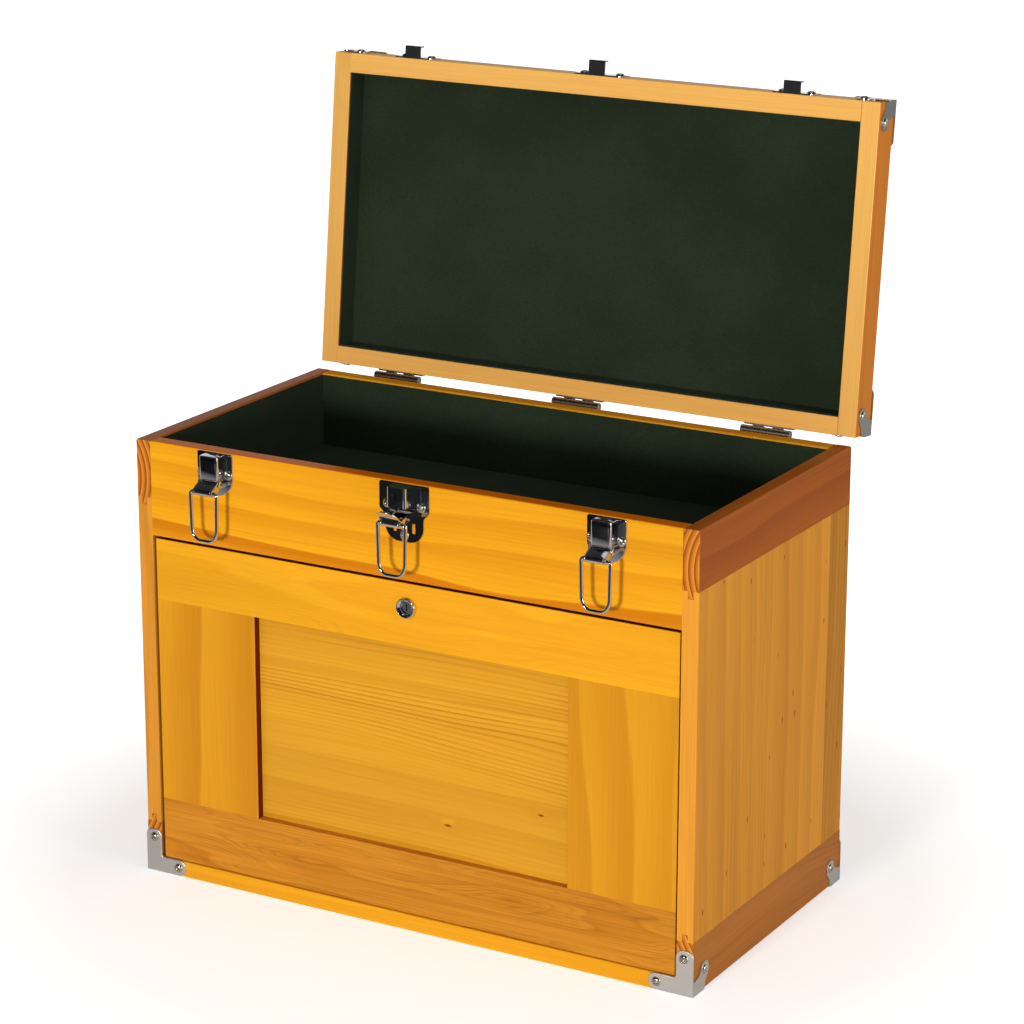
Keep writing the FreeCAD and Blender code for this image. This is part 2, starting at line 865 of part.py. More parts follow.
def hinge_leaf(name, foot, head, web_low, web_high, first, count):
    """A leaf on a back face, with knuckles round the pin on every second stretch."""
    stretch = dim.hinge_width / 5
    half = dim.hinge_width / 2
    plate_y = back + dim.leaf_thickness
    body = new_body(name)
    pad(body, "XZ", back, plate_y,
        [(-half, foot), (half, foot), (half, head), (-half, head)])
    start = first * stretch - half + dim.knuckle_gap / 2
    end = start + stretch - dim.knuckle_gap
    web = pad(body, "YZ", start, end,
              [(back, web_low), (hinge_y, web_low), (hinge_y, web_high), (back, web_high)])
    knuckle = pad(body, "YZ", start, end, circle=(hinge_y, rim, dim.knuckle_radius))
    pattern = body.newObject("PartDesign::LinearPattern", f"{name}_knuckles")
    pattern.Originals = [web, knuckle]
    x_axis = next(each for each in body.Origin.OriginFeatures if each.Role == "X_Axis")
    pattern.Direction = (x_axis, [""])
    pattern.Occurrences = count
    bind(pattern, "Length", 2 * (count - 1) * stretch)
    body.Tip = pattern
    return body


def along_back(thing):
    """The piece at the middle hinge and again at both others."""
    return [thing, again(thing, -hinge_spread), again(thing, hinge_spread)]


def make_hinges():
    clear = dim.leaf_clearance
    tall = dim.leaf_height
    low = rim - clear
    high = rim + clear
    case_leaf = hinge_leaf("case_leaf", low - tall, low, low - dim.leaf_web, low + dim.leaf_web,
                           0, 3)
    lid_leaf = hinge_leaf("lid_leaf", high, high + tall, high - dim.leaf_web,
                          high + dim.leaf_web, 1, 2)
    half = dim.hinge_width / 2
    pocket(case_leaf, "YZ", -half, half, circles=[(hinge_y, rim, dim.hinge_pin_radius)])
    bore = dim.hinge_pin_radius + dim.running_gap
    pocket(lid_leaf, "YZ", -half, half, circles=[(hinge_y, rim, bore)])
    pin = new_body("pin")
    pad(pin, "YZ", -half, half, circle=(hinge_y, rim, dim.hinge_pin_radius))
    for end in (-half, half):
        ease(pin, dim.arris / 2, x=end)
    node("hinge_case_leaves", group("case_leaves", along_back(case_leaf)))
    node("hinge_pins", group("pins", along_back(pin)))
    node("hinge_lid_leaves", open_with_lid(group("lid_leaves", along_back(lid_leaf))))


# ---- lid --------------------------------------------------------------------------------

def make_lid():
    lid_right = right - dim.lid_side_wall
    near = front + dim.lid_front_wall
    far = back - dim.lid_back_wall
    board_under = lid_top - dim.lid_board
    wall = new_body("lid_side")
    pad(wall, "XZ", front, back, [
        (lid_right, lid_foot, dim.arris), (right, lid_foot, dim.arris),
        (right, lid_top, dim.edge_round), (lid_right, lid_top)])
    for end in (front, back):
        ease(wall, dim.arris, x=right, y=end)
    node("lid_side_walls", open_with_lid(group("lid_sides", (wall, mirrored(wall, "x")))))
    for label, name, low, high in (("lid_front_wall", "lid_front", front, near),
                                   ("lid_back_wall", "lid_back", far, back)):
        body = new_body(name)
        outer_first = low is front
        outer = (low, lid_top, dim.edge_round) if outer_first else (low, lid_top)
        inner = (high, lid_top) if outer_first else (high, lid_top, dim.edge_round)
        pad(body, "YZ", -lid_right, lid_right, [
            (low, lid_foot, dim.arris), (high, lid_foot, dim.arris), inner, outer])
        node(label, open_with_lid(body))
    top = board("lid_panel", (-lid_right, near, board_under), (lid_right, far, lid_top))
    node("lid_top_board", open_with_lid(group("lid_top", [top])))
    felt = felt_tray("lid_lining", lid_right, near, far, lid_foot + dim.felt_drop,
                     board_under, -1)
    node("lid_felt", open_with_lid(group("lid_lining_placed", [felt])))


# ---- front panel and its lock -----------------------------------------------------------

def rail_with_groove(name, foot, head, groove_from):
    """A rail of the front panel; the groove holds the stile tongues and the field."""
    body = new_body(name)
    half = dim.field_thickness / 2
    middle = panel_front + dim.field_recess + half
    depth = dim.field_groove
    inward = depth if groove_from is foot else -depth
    groove = [(middle - half, groove_from), (middle - half, groove_from + inward),
              (middle + half, groove_from + inward), (middle + half, groove_from)]
    if groove_from is foot:
        outline = [(panel_front, foot), *groove, (panel_back, foot),
                   (panel_back, head), (panel_front, head, dim.panel_arris)]
    else:
        outline = [(panel_front, foot, dim.panel_arris), (panel_back, foot),
                   (panel_back, head), *reversed(groove), (panel_front, head)]
    pad(body, "YZ", -panel_right, panel_right, outline)
    for end in (-panel_right, panel_right):
        ease(body, dim.panel_arris, x=end, y=panel_front)
    return body


def make_panel():
    field_foot = panel_foot + dim.panel_bottom_rail
    field_head = panel_head - dim.panel_top_rail
    depth = dim.field_groove
    stile_left = panel_right - dim.stile_width
    half = dim.field_thickness / 2
    middle = panel_front + dim.field_recess + half
    near = middle - half
    far = middle + half
    top_rail = rail_with_groove("top_rail", field_head, panel_head, field_head)
    bore = [(0, lock_z, dim.barrel_radius)]
    pocket(top_rail, "XZ", panel_front, panel_back, circles=bore)
    node("panel_top_rail", top_rail)
    node("panel_bottom_rail", rail_with_groove("foot_rail", panel_foot, field_foot, field_foot))
    stile = new_body("stile")
    pad(stile, "XY", field_foot, field_head, [
        (stile_left, panel_front, dim.arris),
        (panel_right, panel_front, dim.panel_arris),
        (panel_right, panel_back),
        (stile_left, panel_back),
        (stile_left, far),
        (stile_left + depth, far),
        (stile_left + depth, near),
        (stile_left, near),
    ])
    pad(stile, "XY", field_foot - depth, field_head + depth, [
        (stile_left + depth, near), (panel_right, near), (panel_right, far),
        (stile_left + depth, far)])
    node("panel_stiles", group("stiles", (stile, mirrored(stile, "x"))))
    node("panel_field", board(
        "field", (-stile_left - depth, near, field_foot - depth),
        (stile_left + depth, far, field_head + depth)))
    make_lock()


def make_lock():
    """A cam lock: the barrel is fixed in the rail, the plug and its cam turn in it."""
    height = lock_z
    rear = panel_front + dim.barrel_length
    plug_bore = dim.plug_radius + dim.running_gap
    barrel = new_body("barrel")
    radius = dim.bezel_radius
    reach = dim.bezel_reach
    lip = dim.bezel_lip
    revolve(barrel, "XZ", [
        (plug_bore, -dim.barrel_length),
        (dim.barrel_radius, -dim.barrel_length),
        (dim.barrel_radius, 0),
        (radius, 0),
        (radius, reach / 2, reach / 3),
        (radius - lip / 2, reach, reach / 6),
        (radius - lip, reach, reach / 6),
        (radius - 2 * lip, reach / 2),
        (plug_bore, reach / 2),
    ])
    node("lock_barrel", stand_out(group("barrel_placed", [barrel]), 0, panel_front, height))
    plug = new_body("plug")
    pad(plug, "XZ", panel_front - reach / 2 + dim.plug_inset, rear,
        circle=(0, height, dim.plug_radius))
    tall = dim.keyway_height / 2
    wide = dim.keyway_width / 2
    keyway_end = panel_front - reach / 2 + dim.plug_inset
    pocket(plug, "XZ", keyway_end, keyway_end + dim.keyway_depth, [
        (-wide, height - tall), (wide, height - tall), (wide, height + tall),
        (-wide, height + tall)])
    cam = new_body("cam")
    half = dim.cam_width / 2
    pad(cam, "XZ", rear, rear + dim.cam_thickness, [
        (-half, height - half, half * CAM_HEEL),
        (dim.cam_length, height - half, half * FULL_END),
        (dim.cam_length, height + half, half * FULL_END),
        (-half, height + half, half * CAM_HEEL),
    ])
    node("lock_plug", group("plug_and_cam", (plug, cam)))


def stand_out(thing, x, y, z):
    """Lays a turned piece, drawn upright, so that its axis points to the front."""
    thing.Placement = FreeCAD.Placement(Vector(), FreeCAD.Rotation(Vector(1, 0, 0), 90))
    return move(thing, x, y, z)


# ---- drawers ----------------------------------------------------------------------------

def drawer(name, left, far_right, foot, head):
    """An open box: front, two sides, back and a base between them."""
    tail = inner_back - dim.drawer_back_gap
    front_rear = bay_front + dim.drawer_front_thickness
    side_head = head - dim.drawer_side_drop
    wall = dim.drawer_wall
    face = new_body(f"{name}_face")
    pad(face, "XZ", bay_front, front_rear,
        [(left, foot), (far_right, foot), (far_right, head), (left, head)])
    for side in (left, far_right):
        ease(face, dim.drawer_arris, x=side, y=bay_front)
    for level in (foot, head):
        ease(face, dim.drawer_arris, y=bay_front, z=level)
    pieces = [face]
    for side_name, low_x in (("left", left), ("right", far_right - wall)):
        pieces.append(board(f"{name}_{side_name}", (low_x, front_rear, foot),
                            (low_x + wall, tail, side_head)))
    pieces.append(board(f"{name}_tail", (left + wall, tail - wall, foot),
                        (far_right - wall, tail, side_head)))
    pieces.append(board(f"{name}_base", (left + wall, front_rear, foot),
                        (far_right - wall, tail - wall, foot + dim.drawer_base)))
    return group(f"{name}_box", pieces)


def knob(name):
    """A turned knob standing on y = 0, drawn upright and laid to the front."""
    length = dim.knob_length
    head = dim.knob_radius
    neck = dim.knob_neck_radius
    body = new_body(name)
    revolve(body, "XZ", [
        (0, 0),
        (dim.knob_foot_radius, 0),
        (dim.knob_foot_radius, length * KNOB_FOOT),
        *[(neck, length * share, neck * turned) for share, turned in KNOB_NECK],
        *[(head, length * share, head * turned) for share, turned in KNOB_HEAD],
        (0, length),
    ])
    return body


def make_drawers():
    half = dim.divider_thickness / 2
    gap = dim.drawer_side_gap
    tops = shelf_tops()
    ceilings = [opening_top] + [top - dim.shelf_thickness for top in tops[:4]]
    for row, (shelf, ceiling) in enumerate(zip(tops, ceilings), start=1):
        foot = shelf + dim.drawer_lift
        head = ceiling - dim.drawer_head_gap
        middle = (foot + head) / 2
        if row <= SMALL_ROWS:
            for side, sign in (("left", -1), ("right", 1)):
                ends = sorted((sign * (half + gap), sign * (inner_right - gap)),
                              key=lambda each: each.number)
                label = f"small_drawer_{row}_{side}"
                node(label, drawer(label + "_", *ends, foot, head))
                node(f"{label}_knob", stand_out(
                    group(f"{label}_knob_placed", [knob(f"{label}_knob_turned")]),
                    sign * knob_spread, bay_front, middle))
        else:
            label = f"wide_drawer_{row}"
            node(label, drawer(label + "_", gap - inner_right, inner_right - gap, foot, head))
            turned = knob(f"{label}_knob_turned")
            move(turned, -dim.wide_knob_spacing / 2)
            pair = group(f"{label}_knobs_placed",
                         [turned, again(turned, dim.wide_knob_spacing / 2)])
            node(f"{label}_knobs", stand_out(pair, 0, bay_front, middle))


# ---- draw latches -----------------------------------------------------------------------

def latch_plate(name, plate, hump_reach, hump_height):
    """Pressed plate with a hollow hump, two ears and the pin that the lever turns on."""
    skin = dim.latch_sheet
    face = front - skin
    half = dim.hump_width / 2
    hump_head = rim - dim.hump_top_drop
    hump_foot = hump_head - hump_height
    out = front - hump_reach
    round_ = dim.hump_round
    body = new_body(name)
    pad(body, "XZ", face, front, plate)
    pad(body, "XY", hump_foot, hump_head, [
        (-half, face), (-half, out, round_), (half, out, round_), (half, face)])
    inner = half - skin
    pocket(body, "XY", hump_foot, hump_head - skin, [
        (-inner, face), (-inner, out + skin, round_ / 2), (inner, out + skin, round_ / 2),
        (inner, face)])
    ear = dim.ear_radius
    for side in (-dim.ear_inset - dim.ear_thickness, dim.ear_inset):
        pad(body, "YZ", side, side + dim.ear_thickness, [
            (face, pivot_z - ear), (face, pivot_z + ear),
            (pivot_y - ear, pivot_z + ear, ear * FULL_END),
            (pivot_y - ear, pivot_z - ear, ear * FULL_END)])
    reach = dim.ear_inset + dim.ear_thickness
    pad(body, "YZ", -reach, reach, circle=(pivot_y, pivot_z, dim.pivot_radius))
    return body


def side_plate_outline():
    half = dim.side_plate_width / 2
    narrow = dim.side_plate_foot / 2
    shoulder = latch_head - dim.side_plate_shoulder
    top = dim.plate_head_round
    turned = dim.plate_side_round
    return [
        (-half, latch_head, top), (-half, shoulder, turned), (-narrow, side_foot, turned),
        (narrow, side_foot, turned), (half, shoulder, turned), (half, latch_head, top),
    ]


def centre_plate_outline():
    half = dim.centre_plate_width / 2
    waist = dim.centre_plate_waist / 2
    shoulder = latch_head - dim.centre_plate_shoulder
    slope = half - waist
    top = dim.plate_head_round
    turned = dim.centre_plate_shoulder_round
    foot = dim.centre_plate_foot_round
    return [
        (-half, latch_head, top), (-half, shoulder, turned), (-waist, shoulder - slope, turned),
        (-waist, centre_foot, foot), (waist, centre_foot, foot),
        (waist, shoulder - slope, turned), (half, shoulder, turned), (half, latch_head, top),
    ]


def lever(name, arm, length, shut, lift):
    """A folded lever, drawn shut with its pivot at the origin; it hangs down the plate.

    The tongue leans out by its lift; the bail's bore leans in by the shut angle.
    """
    sheet_gauge = dim.lever_sheet
    half = dim.lever_width / 2
    body = new_body(name)
    along = (-sine(lift), -cosine(lift))
    outward = (-cosine(lift), sine(lift))
    toward = (sine(shut), -cosine(shut))
    inward = (cosine(shut), sine(shut))
    boss = dim.lever_boss

    def spot(first, a, second, b, *rest):
        return (first[0] * a + second[0] * b, first[1] * a + second[1] * b, *rest)

    low = dim.lever_back
    high = low + sheet_gauge
    pad(body, "YZ", -half, half, [
        spot(along, -low, outward, low), spot(along, -low, outward, high),
        spot(along, length, outward, high), spot(along, length, outward, low)])
    doc.recompute()
    ease_tip(body, half * TONGUE_END, length, along)
    for side in (-half, half - sheet_gauge):
        pad(body, "YZ", side, side + sheet_gauge, [
            spot(along, -low, outward, low + sheet_gauge / 2),
            spot(along, arm + boss, outward, low + sheet_gauge / 2),
            spot(toward, arm + boss, inward, boss, boss * FULL_END),
            spot(toward, -boss, inward, boss, boss * FULL_END)])
    clear = dim.running_gap
    bail_y, bail_z = toward[0] * arm, toward[1] * arm
    pocket(body, "YZ", -half, half, circles=[
        (0, 0, dim.pivot_radius + clear), (bail_y, bail_z, dim.wire_radius + clear)])
    return body


def ease_tip(body, radius, length, along):
    """Rounds the two corners at the free end of the tongue."""
    far = sized(length).number - SAME_PLACE
    chosen = []
    for index, edge in enumerate(body.Shape.Edges, start=1):
        ends = [vertex.Point for vertex in edge.Vertexes]
        out = [end.y * along[0].number + end.z * along[1].number for end in ends]
        same_side = abs(ends[0].x - ends[1].x) < ON_LEVEL
        if min(out) > far and same_side:
            chosen.append(f"Edge{index}")
    solid_so_far = body.Tip
    feature = body.newObject("PartDesign::Fillet", f"{body.Name}_tip")
    feature.Base = (solid_so_far, chosen)
    bind(feature, "Radius", radius)
    return feature


def wire_along(body, corners, radius):
    """A round wire bent along an open line of corners."""
    path = draw(sketch_on(body, "XZ", 0), corners, closed=False)
    section = draw_circle(sketch_on(body, "YZ", corners[0][0]), 0, 0, radius)
    wire = body.newObject("PartDesign::AdditivePipe", f"{body.Name}_wire")
    doc.recompute()
    wire.Profile = section
    wire.Spine = (path, [f"Edge{index}" for index in range(1, len(path.Shape.Edges) + 1)])
    path.Visibility = False
    return body


def bail(name, length):
    """A wire loop that hangs from two turned-in ends; their line is the X axis."""
    half = dim.bail_half_width
    tail = dim.bail_tail
    return wire_along(new_body(name), [
        (-tail, 0), (-half, 0, dim.bail_turn_round), (-half, -length, dim.bail_end_round),
        (half, -length, dim.bail_end_round), (half, 0, dim.bail_turn_round), (tail, 0),
    ], dim.wire_radius)


def key_slots(plate):
    """Two upright slots in the middle plate, either side of its lever."""
    half = dim.slot_width / 2
    low = pivot_z - dim.slot_drop
    high = low + dim.slot_length
    for slot in (-dim.slot_spacing / 2, dim.slot_spacing / 2):
        pocket(plate, "XZ", front - dim.latch_sheet, front, [
            (slot - half, low), (slot + half, low), (slot + half, high), (slot - half, high)])


def key_plug(plate):
    """The turning plug of the middle latch, in a bore of its hump."""
    height = rim - dim.hump_top_drop - dim.centre_hump_height / 2
    face = front - dim.centre_hump_reach
    bore = dim.key_plug_radius + dim.running_gap
    pocket(plate, "XZ", face, face + dim.latch_sheet, circles=[(0, height, bore)])
    start = face + dim.key_plug_inset
    body = new_body("key_plug")
    pad(body, "XZ", start, face + dim.key_plug_length, circle=(0, height, dim.key_plug_radius))
    wide = dim.keyway_width / 2
    tall = dim.key_slot_height / 2
    pocket(body, "XZ", start, face + dim.keyway_depth, [
        (-wide, height - tall), (wide, height - tall), (wide, height + tall),
        (-wide, height + tall)])
    return body


def make_latches():
    for side, x in (("left", -latch_spread), ("centre", 0), ("right", latch_spread)):
        if side == "centre":
            plate = latch_plate("centre_plate", centre_plate_outline(), dim.centre_hump_reach,
                                dim.centre_hump_height)
            key_slots(plate)
            node("latch_key_plug", key_plug(plate))
            arm, length = dim.centre_lever_arm, dim.centre_lever_length
            shut, opened = dim.centre_lever_shut, dim.centre_lever_open
            lift = dim.centre_tongue_lift
        else:
            plate = latch_plate(f"{side}_plate", side_plate_outline(), dim.hump_reach,
                                dim.hump_height)
            arm, length = dim.side_lever_arm, dim.side_lever_length
            shut, opened = dim.side_lever_shut, dim.side_lever_open
            lift = dim.side_tongue_lift
        node(f"{side}_latch_plate", move(plate, x))
        handle = lever(f"{side}_lever_fold", arm, length, shut, lift)
        node(f"{side}_latch_lever", move(turn(handle, -(shut + opened)), x, pivot_y, pivot_z))
        wire = bail(f"{side}_wire", hook_z - pivot_z + arm * cosine(shut))
        node(f"{side}_latch_bail", move(
            wire, x, pivot_y - arm * sine(opened), pivot_z - arm * cosine(opened)))


def strike(name, width, reach):
    """A plate on the lid with a hooked tab that the bail pulls down on."""
    skin = dim.hook_sheet
    half = width / 2
    foot = lid_foot + dim.arris
    face = front - skin
    body = new_body(name)
    pad(body, "XZ", face, front, [
        (-half, foot, dim.strike_foot_round), (half, foot, dim.strike_foot_round),
        (half, foot + dim.strike_height, dim.strike_round),
        (-half, foot + dim.strike_height, dim.strike_round)])
    tab_head = hook_z - dim.wire_radius - dim.hook_clearance
    tab_foot = tab_head - skin
    out = front - reach
    lip_head = tab_head + dim.hook_lip
    side = dim.hook_width / 2
    pad(body, "YZ", -side, side, [
        (face, tab_foot), (out, tab_foot, skin), (out, lip_head), (out + skin, lip_head),
        (out + skin, tab_head), (face, tab_head)])
    return body


def make_strikes():
    side = strike("side_strike", dim.side_strike_width, dim.side_hook_reach)
    centre = strike("centre_strike", dim.centre_strike_width, dim.centre_hook_reach)
    left, right_one = again(side, -latch_spread), again(side, latch_spread)
    node("lid_strikes", open_with_lid(group("strikes", (left, centre, right_one))))


# ---- carrying handle --------------------------------------------------------------------

def handle_foot():
    """A sole plate with an eye that the rod turns in; drawn on the plane z = 0."""
    body = new_body("handle_foot")
    half = dim.handle_span / 2
    inner = half - dim.eye_width
    middle = half - dim.eye_width / 2
    sole = dim.foot_thickness
    length = dim.foot_length / 2
    width = dim.foot_width / 2
    turned = dim.foot_screw_inset
    rise = dim.handle_height
    eye = dim.eye_radius
    pad(body, "XY", 0, sole, [
        (middle - width, -length, turned), (middle + width, -length, turned),
        (middle + width, length, turned), (middle - width, length, turned)])
    pad(body, "YZ", inner, half, [
        (-eye, sole), (eye, sole), (eye, rise + eye, eye * EYE_END),
        (-eye, rise + eye, eye * EYE_END)])
    pocket(body, "YZ", inner, half,
           circles=[(0, rise, dim.handle_rod_radius + dim.running_gap)])
    return body


def grip():
    """A moulded grip turned about the straight part of the rod, with a slight swell."""
    body = new_body("grip")
    sketch = sketch_on(body, "XZ", 0)
    end = dim.grip_length / 2
    level = -dim.handle_reach
    bore = level + dim.handle_rod_radius
    thick = level + dim.grip_radius
    waist = level + dim.grip_waist_radius
    turned = dim.grip_waist_round
    draw(sketch, [
        (-end, bore), (end, bore), (end, thick, dim.grip_end_round),
        (end * GRIP_SWELL, waist, turned), (0, waist + dim.grip_end_round / 5, turned * 2),
        (-end * GRIP_SWELL, waist, turned), (-end, thick, dim.grip_end_round)])
    axis = sketch.addGeometry(Part.LineSegment(Vector(-1, 0, 0), Vector(1, 0, 0)), True)
    for which, across in ((1, -end), (2, end)):
        fix_point(sketch, axis, which, across, level)
    feature = body.newObject("PartDesign::Revolution", "grip_turned")
    feature.Profile = sketch
    feature.ReferenceAxis = (sketch, ["Axis0"])
    feature.Angle = 360
    return body


def make_handle():
    foot = handle_foot()
    feet = move(group("handle_feet", (foot, mirrored(foot, "x"))), 0, 0, lid_top)
    node("handle_mounts", open_with_lid(group("handle_feet_placed", [feet])))
    half = dim.handle_span / 2
    bend = dim.handle_bend
    leg = half - dim.eye_width - bend
    drop = -dim.handle_reach
    rod = wire_along(new_body("rod"), [
        (-half, 0), (-leg, 0, bend * ROD_ELBOW), (-leg, drop, bend),
        (leg, drop, bend), (leg, 0, bend * ROD_ELBOW), (half, 0),
    ], dim.handle_rod_radius)
    turned = dim.lid_open_angle
    rise = lid_top + dim.handle_height - rim
    place = (0, hinge_y - hinge_y * cosine(turned) + rise * sine(turned),
             rim + hinge_y * sine(turned) + rise * cosine(turned))
    node("handle_rod", move(rod, *place))
    node("handle_grip", move(grip(), *place))


def make_nodes():
    make_case()
    make_hinges()
    make_lid()
    make_panel()
    make_drawers()
    make_latches()
    make_strikes()
    make_handle()
    make_brackets()
    make_screws()


def check_nodes():
    """Stops before anything is written if an object or a sub-part is not sound."""
    for thing in doc.Objects:
        if "Invalid" in thing.State or "Error" in thing.State:
            raise RuntimeError(f"{thing.Name}: {thing.State} {thing.getStatusString()}")
    for label, thing in nodes.items():
        if thing.Shape.isNull():
            raise RuntimeError(f"{label} has no shape")
        if not thing.Shape.isValid():
            raise RuntimeError(f"{label} is not a valid shape")


def write_nodes():
    os.makedirs(NODE_FOLDER, exist_ok=True)
    for label, thing in nodes.items():
        thing.Shape.exportStep(os.path.join(NODE_FOLDER, f"{label}.step"))


make_nodes()
doc.recompute()
check_nodes()
write_nodes()
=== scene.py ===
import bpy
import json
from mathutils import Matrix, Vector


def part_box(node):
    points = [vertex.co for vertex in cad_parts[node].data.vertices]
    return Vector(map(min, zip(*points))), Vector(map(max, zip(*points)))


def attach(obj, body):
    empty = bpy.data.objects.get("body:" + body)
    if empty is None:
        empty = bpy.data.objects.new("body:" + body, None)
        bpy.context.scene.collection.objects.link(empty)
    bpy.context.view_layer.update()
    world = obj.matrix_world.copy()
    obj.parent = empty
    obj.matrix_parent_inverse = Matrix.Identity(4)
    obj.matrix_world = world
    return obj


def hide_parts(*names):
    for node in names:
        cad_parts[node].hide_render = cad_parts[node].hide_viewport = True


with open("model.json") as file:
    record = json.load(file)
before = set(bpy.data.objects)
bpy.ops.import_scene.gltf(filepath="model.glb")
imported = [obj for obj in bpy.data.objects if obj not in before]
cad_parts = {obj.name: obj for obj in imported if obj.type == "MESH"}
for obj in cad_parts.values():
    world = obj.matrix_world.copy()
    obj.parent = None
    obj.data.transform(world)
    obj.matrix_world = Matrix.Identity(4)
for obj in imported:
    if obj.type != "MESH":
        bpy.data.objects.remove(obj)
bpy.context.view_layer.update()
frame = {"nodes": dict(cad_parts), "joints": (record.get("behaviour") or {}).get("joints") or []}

import json
import math

import bmesh
import bpy
import numpy as np
from mathutils import Euler, Vector

# The frame is in metres; patterns and small shapes are written in millimetres.
MM = 0.001

NODES = frame["nodes"]
LID_HINGE = next(joint for joint in frame["joints"] if joint["name"] == "lid_hinge")
LID_OPEN_ANGLE = math.radians(-LID_HINGE["range_deg"][0])
HINGE_LINE = Vector(LID_HINGE["pos_m"]) / MM


# ---- colours and nodes --------------------------------------------------------------------

def linear(hex_colour):
    """An sRGB hex colour as the linear values that the shaders take."""
    parts = [int(hex_colour[i:i + 2], 16) / 255 for i in (1, 3, 5)]
    return [part / 12.92 if part <= 0.04045 else ((part + 0.055) / 1.055) ** 2.4
            for part in parts] + [1.0]


def add(tree, kind, *inputs, at=None, out=0, stops=(), **settings):
    """Adds a node and gives one of its outputs, or the node if it has none.

    Inputs are linked or filled in order, or at the places that `at` lists. A setting with a
    capital is an input by name, any other is the node's own. Stops are (place, colour).
    """
    made = tree.nodes.new(f"ShaderNode{kind}")
    for name in [one for one in settings if one[0].islower()]:
        setattr(made, name, settings.pop(name))
    for stop, (place, colour) in enumerate(stops):
        band = made.color_ramp.elements
        # a new ramp has two stops already
        element = band[stop] if stop < 2 else band.new(1.0)
        element.position = place
        element.color = linear(colour) if isinstance(colour, str) else (*[colour] * 3, 1)
    sockets = dict(zip(at or range(len(inputs)), inputs))
    sockets.update({name.replace("_", " "): value for name, value in settings.items()})
    for key, value in sockets.items():
        if isinstance(value, bpy.types.NodeSocket):
            tree.links.new(value, made.inputs[key])
        else:
            made.inputs[key].default_value = value
    return made.outputs[out] if made.outputs else made


# how a Mix node takes and gives colours
COLOURS = {"at": (0, 6, 7), "out": 2, "data_type": "RGBA"}


def finished(name, sockets):
    """A material of this name whose Principled shader has these sockets filled or linked.

    The sockets come from a function of the material's tree.
    """
    material = bpy.data.materials.new(name)
    material.use_nodes = True
    tree = material.node_tree
    tree.nodes.clear()
    surface = add(tree, "BsdfPrincipled", **sockets(tree))
    add(tree, "OutputMaterial", surface)
    return material


def millimetres(tree, on_lid=False):
    """Object coordinates in millimetres, for the lid turned back to its closed place."""
    place = add(tree, "TexCoord", out="Object")
    place = add(tree, "VectorMath", place, Scale=1 / MM, operation="SCALE")
    if not on_lid:
        return place
    turned = Euler((LID_OPEN_ANGLE, 0, 0))
    settled = HINGE_LINE - turned.to_matrix() @ HINGE_LINE
    return add(tree, "Mapping", place, Location=settled, Rotation=turned)


# ---- wood ---------------------------------------------------------------------------------

def stretched(tree, place, grain, along, across):
    """The place measured in lengths of `along` down the grain and `across` over it."""
    parts = [1 / along if axis == grain else 1 / across for axis in "XYZ"]
    return add(tree, "VectorMath", place, parts, operation="MULTIPLY")


def growth(tree, level, width, profile, least):
    """The darkness of repeating bands this wide, which follow the profile.

    Each band has a strength of its own between `least` and 1.
    """
    count = add(tree, "Math", level, width, operation="DIVIDE")
    year = add(tree, "Math", count, operation="FRACT")
    rise = add(tree, "ValToRGB", year, stops=profile)
    whole = add(tree, "Math", count, operation="FLOOR")
    chance = add(tree, "TexWhiteNoise", W=whole, noise_dimensions="1D")
    strength = add(tree, "MapRange", chance, 0.0, 1.0, least, 1.0)
    return add(tree, "Math", rise, strength, operation="MULTIPLY")


# how far apart, in millimetres, two boards lie in the patterns that they share
BOARD_STEP = 1000.0
STAVE_STEP = 977.0
# the resin in the ducts and in the eyes of knots
RESIN = "#7A3A10"

# (place in the year, darkness): a broad tone that ends sharply, and a thin late-wood line
BROAD = [(0.0, 0.0), (0.3, 0.3), (0.82, 1.0), (0.93, 1.0), (1.0, 0.0)]
THIN = [(0.0, 0.0), (0.5, 0.12), (0.8, 1.0), (0.92, 1.0), (1.0, 0.0)]


